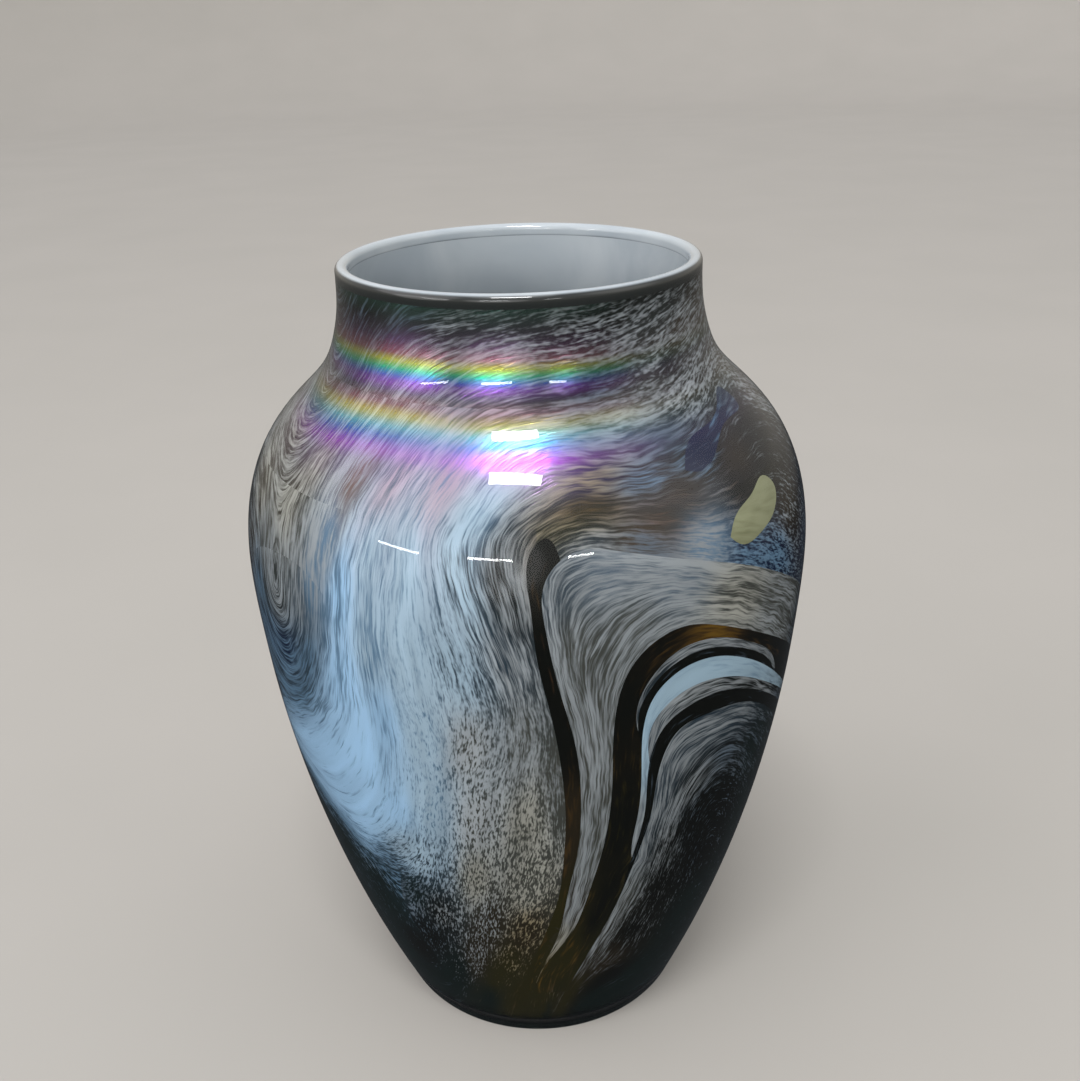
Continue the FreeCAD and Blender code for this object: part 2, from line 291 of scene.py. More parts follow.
def smooth_over(mesh, crease=40):
    """Smooth shading, with every edge sharper than the crease angle kept crisp."""
    mesh.shade_smooth()
    mesh.set_sharp_from_angle(angle=math.radians(crease))


LATHE = lathe_tree()


def closed_cup(outer, inner):
    """The profile of a cup of glass: up its outside, over its rim and down its inside to the axis."""
    return np.vstack([outer, inner[::-1]])


def pontil_hollow(steps=9):
    """The shallow ground hollow under the foot, from the axis outwards."""
    sphere_radius = (PONTIL_RADIUS ** 2 + PONTIL_DEPTH ** 2) / (2 * PONTIL_DEPTH)
    radii = np.linspace(0, PONTIL_RADIUS, steps)
    return np.column_stack([radii, PONTIL_DEPTH - sphere_radius + np.sqrt(sphere_radius ** 2 - radii ** 2)])


def casing_profile():
    """The clear casing: the whole outside of the vase, with the pontil hollow under it."""
    outer = np.vstack([pontil_hollow(), cup_profile(0, 0, HEEL_RADIUS)[1:]])
    inner = cup_profile(CASING_THICKNESS, BOTTOM_THICKNESS, BOTTOM_ROUND)
    # The rim of the casing stands a hair into the lip, which leaves no film of air under the lip
    outer[-1, 1] += SEATING
    inner[-1, 1] += SEATING
    return closed_cup(outer, inner)


# The last station of the foot's profile under its line stays this far from the line itself
SHORT_OF_LINE = 0.3


def foot_profile():
    """The coloured cup of the foot under the casing, up to its line."""
    depth = CASING_THICKNESS - SEATING
    outer = cup_profile(depth, BOTTOM_THICKNESS - SEATING, BOTTOM_ROUND + SEATING)
    inner_depth = CASING_THICKNESS + COLOUR_THICKNESS
    inner = cup_profile(inner_depth, BOTTOM_THICKNESS + COLOUR_THICKNESS, BOTTOM_ROUND - COLOUR_THICKNESS)
    halves = []
    for half, at in ((outer, depth), (inner, inner_depth)):
        kept = half[half[:, 1] < FOOT_LINE - SHORT_OF_LINE]
        halves.append(np.vstack([kept, [[float(wall_radius(at, FOOT_LINE)), FOOT_LINE]]]))
    return closed_cup(*halves)


def lining_profile():
    """The milky lining: the whole inside of the vase."""
    sunk = COLOUR_THICKNESS + GROUND_THICKNESS
    outer = cup_profile(CASING_THICKNESS + sunk, BOTTOM_THICKNESS + sunk, BOTTOM_ROUND - sunk)
    sunk += LINING_THICKNESS
    inner = cup_profile(WALL_THICKNESS, BOTTOM_THICKNESS + sunk, BOTTOM_ROUND - sunk)
    return closed_cup(outer, inner)


# The straight part of the lip's sides, between its seat and its round crown
LIP_STRAIGHT = 0.8


def lip_profile(steps=16):
    """Straight sides and a fire-polished half round on top, as a closed ring."""
    half = WALL_THICKNESS / 2
    centre = MOUTH_RADIUS - half
    crown = [
        (centre + half * math.cos(turn), VASE_HEIGHT - half + half * math.sin(turn))
        for turn in np.linspace(0, math.pi, steps)
    ]
    inside_radius = MOUTH_RADIUS - WALL_THICKNESS
    seat = [(MOUTH_RADIUS, LIP_SEAT), (MOUTH_RADIUS, LIP_SEAT + LIP_STRAIGHT)]
    back = [(inside_radius, LIP_SEAT + LIP_STRAIGHT), (inside_radius, LIP_SEAT)]
    return np.array(seat + crown + back + seat[:1])


# ---- the colour work, drawn on the unrolled wall as in the CAD model ----
# Degrees round from the front, growing to the right, and millimetres up.

RIGHT_FRIT_FAN = [
    [(3, 12), (12.5, 50), (17.5, 70), (21, 90), (23.5, 110), (24.6, 128), (28, 136.5), (34, 138),
     (43, 136), (55, 126), (70, 107), (84, 82), (94, 54), (101, 12)],
]
LOWER_DARK_ARCH = [
    [(25, 50), (19.2, 80), (19.9, 90), (21.9, 110), (22, 130), (24.5, 139), (33, 144.2),
     (42, 141.5), (57, 128.5), (75, 108), (91, 82), (101, 54), (107, 12)],
]
GREY_UNDER_ARCH = [
    [(25, 112), (21.6, 130), (21.8, 140.5), (26, 147.5), (31, 149.6), (38, 148), (52, 137),
     (68, 121), (84, 103), (98, 76), (107, 50), (113, 12)],
]
OPAL_ARCH = [
    [(24, 80), (20.2, 92), (20.4, 110), (20.2, 128), (20.2, 142), (22.2, 150.6), (27, 156), (33, 156.8),
     (41, 152.7), (60, 133), (77, 113), (94, 88), (109, 54), (118, 12)],
]
DARK_ARCH_LINE = [
    [(24, 122), (19.3, 138), (19.2, 147), (21.2, 153), (25.5, 158.4), (31, 160), (38, 157.6), (47, 150.5),
     (57, 136), (60, 118)],
]
GREY_SUB_ARCH = [
    [(24, 128), (18.6, 143), (19, 150), (21.6, 157), (26, 162), (31, 163), (37, 161), (44, 155.7),
     (56, 141), (60, 122)],
]
AMBER_ARCH = [
    [(-5, 12), (2, 49), (7, 61), (10.8, 80), (13.4, 100), (14.4, 125), (14.8, 150), (17.6, 161.5),
     (22, 167), (28, 168.8), (35, 165.8), (49, 155), (65, 140), (84, 118), (102, 88), (116, 52), (125, 12)],
]
CENTRE_PLUME = [
    [(-3, 12), (-1.5, 38), (3.8, 60), (6, 80), (8, 100), (8.4, 118), (7.3, 138), (4, 160), (2.4, 174),
     (2.6, 186), (7, 192), (16, 191.5), (27, 187), (42, 179.5), (56, 169), (71, 155), (88, 134),
     (107, 102), (123, 58), (132, 12)],
]
FIRST_AMBER_LINE = [
    [(-8, 12), (-3, 44), (0, 59), (4, 80), (5.1, 98), (5.4, 114), (4.7, 130), (2.8, 150), (0.7, 167),
     (-0.2, 182), (0.8, 194), (3, 196), (6, 188)],
    [(10, 150)],
    [(11, 115)],
    [(8, 80)],
    [(0, 50)],
]
FRONT_FRIT_FIELD = [
    [(-29, 210), (-26.5, 170), (-24, 140), (-23.5, 115), (-27, 96), (-34, 79), (-36, 62), (-33, 42),
     (-29, 12)],
    [(9, 12)],
    [(9, 150)],
    [(1.5, 190), (1.5, 210)],
]
NAVY_SPECKLE_FIELD = [
    [(10, 150)],
    [(-2, 210)],
    [(112, 210), (115, 175), (121, 130), (130, 75), (137, 12)],
    [(30, 12)],
]
LEFT_PALE_SWEEP = [
    [(-38, 210), (-38.5, 172), (-42, 151), (-48, 139), (-59, 130.5), (-68.5, 123), (-70, 113), (-64, 103),
     (-55, 97), (-48, 88.5), (-40, 83), (-30, 82.5), (-18, 88)],
    [(-15, 150)],
    [(-15, 210)],
]
LEFT_BLUE_FEATHER = [
    [(-40, 176), (-40, 150), (-52, 130), (-64, 132), (-71, 146), (-73, 162), (-66, 176), (-54, 181),
     (-45, 180), (-40, 176)],
]
SMOKE_DARK_FIELD = [
    [(-20, 210)],
    [(-84, 210), (-88, 165), (-87, 120), (-81, 70), (-76, 12)],
    [(-20, 12)],
]
BACK_FRIT_FAN = [
    [(158, 12), (162, 55), (168, 90), (178, 116), (194, 126), (210, 117), (222, 91), (229, 55), (233, 12)],
]
BACK_DARK_ARCH = [
    [(152, 12), (156, 55), (161, 94), (173, 124), (194, 136), (214, 126), (228, 96), (236, 55), (240, 12)],
]
BACK_OPAL_ARCH = [
    [(148, 12), (151, 55), (155, 95), (168, 131), (194, 146), (219, 134), (234, 101), (242, 55), (246, 12)],
]
CELADON_EYE = [
    [(40, 187.5), (42, 191), (50, 195), (56, 196.6), (58.3, 193), (56, 188.4), (49.5, 185), (42.5, 184.6),
     (40, 187.5)],
]
NAVY_HOOK = [
    [(34.5, 205), (37, 208.3), (46, 211.4), (58, 214.6), (65, 215.5), (66, 213), (59, 210.6), (47, 207.4),
     (38, 203.8), (34.5, 205)],
]

WALL_PIECES = (
    ("celadon_eye", CELADON_EYE),
    ("right_frit_fan", RIGHT_FRIT_FAN),
    ("lower_dark_arch", LOWER_DARK_ARCH),
    ("grey_under_arch", GREY_UNDER_ARCH),
    ("opal_arch", OPAL_ARCH),
    ("dark_arch_line", DARK_ARCH_LINE),
    ("grey_sub_arch", GREY_SUB_ARCH),
    ("amber_arch", AMBER_ARCH),
    ("centre_plume", CENTRE_PLUME),
    ("first_amber_line", FIRST_AMBER_LINE),
    ("front_frit_field", FRONT_FRIT_FIELD),
    ("navy_speckle_field", NAVY_SPECKLE_FIELD),
    ("left_pale_sweep", LEFT_PALE_SWEEP),
    ("left_blue_feather", LEFT_BLUE_FEATHER),
    ("smoke_dark_field", SMOKE_DARK_FIELD),
    ("back_frit_fan", BACK_FRIT_FAN),
    ("back_dark_arch", BACK_DARK_ARCH),
    ("back_opal_arch", BACK_OPAL_ARCH),
)
# Each ring of the wall: its lowest and highest line, what is cut from it in order, and what is left over
RINGS = (
    (FOOT_LINE, SHAWL_LINE, WALL_PIECES, "back_frit_field"),
    (SHAWL_LINE, NECK_LINE, (("navy_hook", NAVY_HOOK),), "shoulder_shawl"),
    (NECK_LINE, LIP_SEAT, (), "neck_band"),
)
# The unrolled wall is opened at the left, inside the frit of the back
SEAM = (-90.0, 270.0)


def on_drawing(points):
    """Points (degrees, height) as millimetres on the unrolled wall."""
    return np.asarray(points, float) * (DEGREE, 1)


def drawn_curve(run, spacing=1.3):
    """A run's smooth curve on the unrolled wall, in millimetres, as the CAD model cuts it."""
    angles = np.radians([degrees for degrees, _ in run])
    heights = np.array([height for _, height in run])
    on_belly = np.column_stack([BELLY_RADIUS * np.sin(angles), -BELLY_RADIUS * np.cos(angles), heights])
    length = np.linalg.norm(np.diff(on_belly, axis=0), axis=1).sum()
    curve = smooth_line(on_belly, max(3, int(length / spacing)))
    turned = np.degrees(np.unwrap(np.arctan2(curve[:, 0], -curve[:, 1])))
    turned += 360 * round((run[0][0] - turned[0]) / 360)
    return np.column_stack([turned * DEGREE, curve[:, 2]])


def outline_corners(runs):
    """The corners of a closed outline drawn in runs, where a run of one point is a plain corner."""
    return np.vstack([drawn_curve(run) if len(run) > 1 else on_drawing(run) for run in runs])


def inside(corners, points):
    """Which points lie inside a closed outline."""
    found = np.zeros(len(points), bool)
    for (x1, y1), (x2, y2) in zip(corners, np.roll(corners, -1, axis=0)):
        if y1 == y2:
            continue
        crossed = (y1 > points[:, 1]) != (y2 > points[:, 1])
        found ^= crossed & (points[:, 0] < x1 + (points[:, 1] - y1) * (x2 - x1) / (y2 - y1))
    return found


def clipped_to_ring(start, end, low, high):
    """The part of a straight cut between two heights, or None."""
    rise = end[1] - start[1]
    shares = [0.0, 1.0]
    if abs(rise) > 1e-9:
        shares = sorted(((low - start[1]) / rise, (high - start[1]) / rise))
    first, last = max(0.0, shares[0]), min(1.0, shares[1])
    if first >= last or not low <= start[1] + rise * (first + last) / 2 <= high:
        return None
    return start + (end - start) * first, start + (end - start) * last


# The grid of triangles: its columns, the rows closer together, and its points clear of the cuts
DRAWING_GRID = 2.0
ROW_SPACING = 0.9 * DRAWING_GRID
CLEAR_OF_CUTS = 0.6 * DRAWING_GRID
CUT_TOLERANCE = 1e-3


def unrolled_triangles():
    """The unrolled wall cut into small triangles along every outline: its points, and the triangles."""
    left, right = SEAM[0] * DEGREE, SEAM[1] * DEGREE
    points, cuts = [], []
    for low, high, pieces, _ in RINGS:
        for _, runs in pieces:
            for run in runs:
                if len(run) < 2:
                    continue
                curve = drawn_curve(run)
                for start, end in zip(curve, curve[1:]):
                    kept = clipped_to_ring(start, end, low, high)
                    if kept:
                        cuts.append((len(points), len(points) + 1))
                        points.extend(kept)
    columns = np.linspace(left, right, int((right - left) / DRAWING_GRID))
    for line in (FOOT_LINE, SHAWL_LINE, NECK_LINE, LIP_SEAT):
        first = len(points)
        points.extend((x, line) for x in columns)
        cuts.extend((first + i, first + i + 1) for i in range(len(columns) - 1))
    on_cuts = KDTree(len(points))
    for i, (x, y) in enumerate(points):
        on_cuts.insert((x, y, 0), i)
    on_cuts.balance()
    half_column = (columns[1] - columns[0]) / 2
    for row, level in enumerate(np.arange(FOOT_LINE + DRAWING_GRID, LIP_SEAT - 1, ROW_SPACING)):
        points.extend(((left, level), (right, level)))
        for x in columns[1:-1] + (half_column if row % 2 else 0):
            apart = on_cuts.find((x, level, 0))[2]
            if apart > CLEAR_OF_CUTS and x < right - half_column:
                points.append((x, level))
    made = delaunay_2d_cdt([Vector(point) for point in points], cuts, [], 0, CUT_TOLERANCE)
    corners, faces = ([tuple(item) for item in made[part]] for part in (0, 2))
    return np.array(corners), np.array(faces)


def sorted_by_piece(points, triangles):
    """The triangles of each coloured piece, where the first outline that holds a triangle wins."""
    middles = points[triangles].mean(axis=1)
    found = {}
    free = np.ones(len(triangles), bool)
    for low, high, pieces, rest in RINGS:
        ring = (middles[:, 1] > low) & (middles[:, 1] < high)
        for name, runs in pieces:
            rows = np.flatnonzero(ring & free)
            rows = rows[inside(outline_corners(runs), middles[rows])]
            free[rows] = False
            found[name] = rows
        rows = np.flatnonzero(ring & free)
        free[rows] = False
        found[rest] = rows
    return found


# ---- how the glass was combed: the run of the streaks over the unrolled wall ----
# Streaks follow lines of equal value. A step of one is about a millimetre across them, less where the glass
# was drawn thin.

COMBED_LINES = (
    (41, RIGHT_FRIT_FAN[0]), (36, LOWER_DARK_ARCH[0][1:]), (31, GREY_UNDER_ARCH[0][1:]),
    (25, OPAL_ARCH[0][1:]),
    (22.5, DARK_ARCH_LINE[0][1:-1]), (20, GREY_SUB_ARCH[0][1:-1]), (13, AMBER_ARCH[0]),
    (4.4, CENTRE_PLUME[0]),
    # the plume and the fan on the right
    (6.4, [(5.4, 70), (7.6, 88), (9.3, 110), (8.6, 138), (5.6, 160), (5.2, 174), (7.5, 184), (14, 188),
           (25, 184.5), (40, 177), (55, 166)]),
    (9, [(6.8, 70), (9.4, 90), (11, 120), (10.4, 148), (10, 163), (13, 175), (21, 180.5), (32, 178.5),
         (46, 170.5), (62, 155)]),
    (11.2, [(8.6, 72), (12.4, 110), (12.8, 145), (14.4, 163), (20, 172), (29, 174), (40, 168.5),
            (53, 157)]),
    (46, [(12, 36), (20, 60), (25.5, 85), (28.5, 110), (33, 126), (40, 128), (52, 117), (68, 95),
          (84, 60)]),
    (52, [(24, 40), (29, 65), (32, 90), (35, 108), (41, 113), (50, 103), (62, 80), (72, 46)]),
    (58, [(35, 40), (37, 70), (39, 90), (43, 96), (49, 87), (56, 60)]),
    # the front field, from the first amber line leftwards
    (-6, [(-3, 192), (0.2, 172), (2.4, 150), (3, 128), (2.8, 100), (-1, 72), (-6, 50)]),
    (-13, [(-7.5, 192), (-3.2, 170), (0, 150), (-0.8, 130), (-4, 100), (-8, 70), (-12, 46)]),
    (-22, [(-13, 192), (-8.5, 170), (-5, 150), (-6.5, 130), (-10.5, 100), (-14.5, 70), (-19, 44)]),
    (-31, [(-18.5, 192), (-15, 170), (-12.5, 150), (-14, 130), (-17, 100), (-21, 70), (-25, 44)]),
    (-40, [(-23, 192), (-24, 165), (-22, 140), (-22.5, 118), (-25, 100), (-30, 88), (-38, 84), (-47, 88),
           (-55, 97), (-65, 104)]),
    # the sweep and the feather on the left
    (-47, [(-28, 192), (-29, 165), (-28.5, 140), (-31, 118), (-37, 103), (-46, 97), (-56, 102),
           (-68, 108)]),
    (-56, [(-33, 192), (-34, 165), (-35, 143), (-39, 126), (-47, 115), (-58, 111), (-72, 115)]),
    (-65, [(-38.5, 190), (-39, 170), (-42, 151), (-48, 138), (-58, 129), (-72, 123)]),
    (-71, [(-42, 188), (-42, 168), (-46, 150), (-53, 138), (-62, 137), (-69, 147), (-76, 160),
           (-86, 171), (-98, 182)]),
    (-77, [(-46, 190), (-46, 168), (-50, 154), (-55, 148), (-61, 151), (-65, 162), (-67, 178)]),
    (-84, [(-51, 188), (-51, 172), (-54, 163), (-58, 163), (-60, 174), (-61, 187), (-67, 197),
           (-79, 203), (-95, 209)]),
    # over the shoulder and round the neck, rising to the right
    (-5, [(-2, 196), (5, 200.5), (18, 202), (35, 201), (50, 202), (62, 203), (76, 192), (94, 162),
          (112, 116), (124, 64)]),
    (-13, [(-7, 197), (0, 205), (15, 208), (35, 208), (55, 212), (72, 213), (88, 202), (104, 172),
           (120, 118), (131, 60)]),
    (-22, [(-12, 198), (-4, 209), (12, 212.5), (32, 213), (55, 218), (80, 221), (100, 210), (118, 182),
           (130, 130), (137, 70)]),
    (-30, [(-17, 199), (-9, 212), (8, 217), (30, 218), (55, 223), (80, 229), (108, 218), (130, 194),
           (150, 178), (180, 176), (210, 173), (236, 150), (248, 126), (262, 108), (277, 95)]),
    (-40, [(-23, 199), (-15, 214), (3, 221), (28, 224), (55, 229), (80, 236), (110, 230), (140, 210),
           (165, 196), (200, 190), (228, 175), (243, 153), (257, 131), (272, 113), (287, 103.5)]),
    (-52, [(-30, 199), (-24, 214), (-8, 226), (18, 230), (45, 235), (68, 241), (104, 241), (140, 228),
           (175, 214), (210, 204), (236, 185), (250, 166), (263, 145), (276, 125), (288, 112)]),
    (-65, [(-38, 199), (-34, 213), (-22, 228), (0, 236), (28, 239), (52, 245), (100, 249), (160, 238),
           (200, 224), (230, 207), (250, 188), (265, 166), (277, 143), (287, 124)]),
    (-80, [(-48, 203), (-44, 220), (-32, 234), (-10, 242), (14, 247)]),
    (-95, [(-98, 224), (-80, 216), (-68, 208), (-61, 210), (-57, 222), (-49, 236), (-36, 247)]),
    (-78, [(190, 244), (225, 230), (250, 208), (268, 192), (284, 186), (292, 180)]),
    # the dark glass low on the left
    (-37, [(-72, 99), (-58, 90), (-46, 80), (-41, 68), (-40, 50), (-37, 34)]),
    (-32, [(-80, 92), (-64, 76), (-53, 60), (-48, 44), (-45, 34)]),
    (-27, [(-100, 104), (-86, 78), (-72, 56), (-66, 34)]),
    # the back: an arch like the one on the right
    (-22, [(143, 40), (145, 100), (156, 139), (176, 156), (200, 158), (224, 148), (242, 116), (252, 60)]),
    (-14, BACK_OPAL_ARCH[0]), (-6, BACK_DARK_ARCH[0]), (2, BACK_FRIT_FAN[0]),
    (10, [(172, 40), (176, 80), (186, 105), (196, 108), (206, 98), (216, 70), (221, 40)]),
    (18, [(186, 40), (189, 76), (196, 86), (203, 74), (208, 40)]),
)


def thin_plate(points, values, stiffness=0.4, scale=100.0):
    """A smooth surface over the drawing that passes close to given values at given points."""
    def bending(r2):
        return 0.5 * r2 * np.log(r2 + 1e-9)

    count = len(points)
    at = points / scale
    plane = np.column_stack([np.ones(count), at])
    system = np.zeros((count + 3, count + 3))
    system[:count, :count] = bending(((at[:, None] - at[None]) ** 2).sum(axis=2))
    system[:count, :count] += np.eye(count) * stiffness / scale
    system[:count, count:] = plane
    system[count:, :count] = plane.T
    weights = np.linalg.solve(system, np.concatenate([values, np.zeros(3)]))

    def surface(where):
        where = where / scale
        r2 = ((where[:, None] - at[None]) ** 2).sum(axis=2)
        return bending(r2) @ weights[:count] + weights[count] + where @ weights[count + 1:]

    return surface


# Millimetres between the points taken on a line
LINE_SPACING = 7
# Lines count this far beyond the seam, in degrees, so that the surface meets itself there
SEAM_OVERLAP = 60


def combed_surface():
    """The run of the streaks as a surface over the drawing, the same at both sides of the seam."""
    left, right = (SEAM[0] - SEAM_OVERLAP) * DEGREE, (SEAM[1] + SEAM_OVERLAP) * DEGREE
    points, values = [], []
    for value, line in COMBED_LINES:
        curve = drawn_curve(line, spacing=LINE_SPACING)
        for shift in (-360, 0, 360):
            moved = curve + (shift * DEGREE, 0)
            near = (moved[:, 0] > left) & (moved[:, 0] < right)
            points.append(moved[near])
            values.append(np.full(near.sum(), float(value)))
    return thin_plate(np.vstack(points), np.concatenate(values))


# ---- the colours of the glass, and where they lie ----

# The mauve tint is partly a painted reflection: pale mauve threads that stand in for soft light on the front
# left of the shoulder
GLASS_TINTS = {
    "ice": (152, 176, 194), "sky": (150, 188, 222), "haze": (84, 114, 140), "pearl": (146, 153, 158),
    "mist": (130, 137, 142), "stone": (146, 147, 140), "sand": (134, 124, 98), "mauve_sheen": (160, 146, 160),
    "slate": (78, 92, 106), "dusk": (42, 54, 64), "ash": (62, 64, 60), "soot": (15, 17, 15),
    "peat": (38, 33, 24), "umber": (60, 45, 24), "honey": (96, 72, 26), "olive": (40, 38, 18),
    "teal": (16, 27, 26), "navy": (16, 26, 50), "celadon": (130, 134, 106), "moss": (96, 98, 70),
    "opal": (150, 176, 194), "rust": (88, 62, 44), "milk": (190, 198, 203), "cloud": (168, 178, 186),
    "smoke": (34, 38, 38),
}


def tint(name):
    """A glass tint as linear red, green and blue."""
    shares = np.array(GLASS_TINTS[name]) / 255
    return np.where(shares <= 0.04045, shares / 12.92, ((shares + 0.055) / 1.055) ** 2.4)


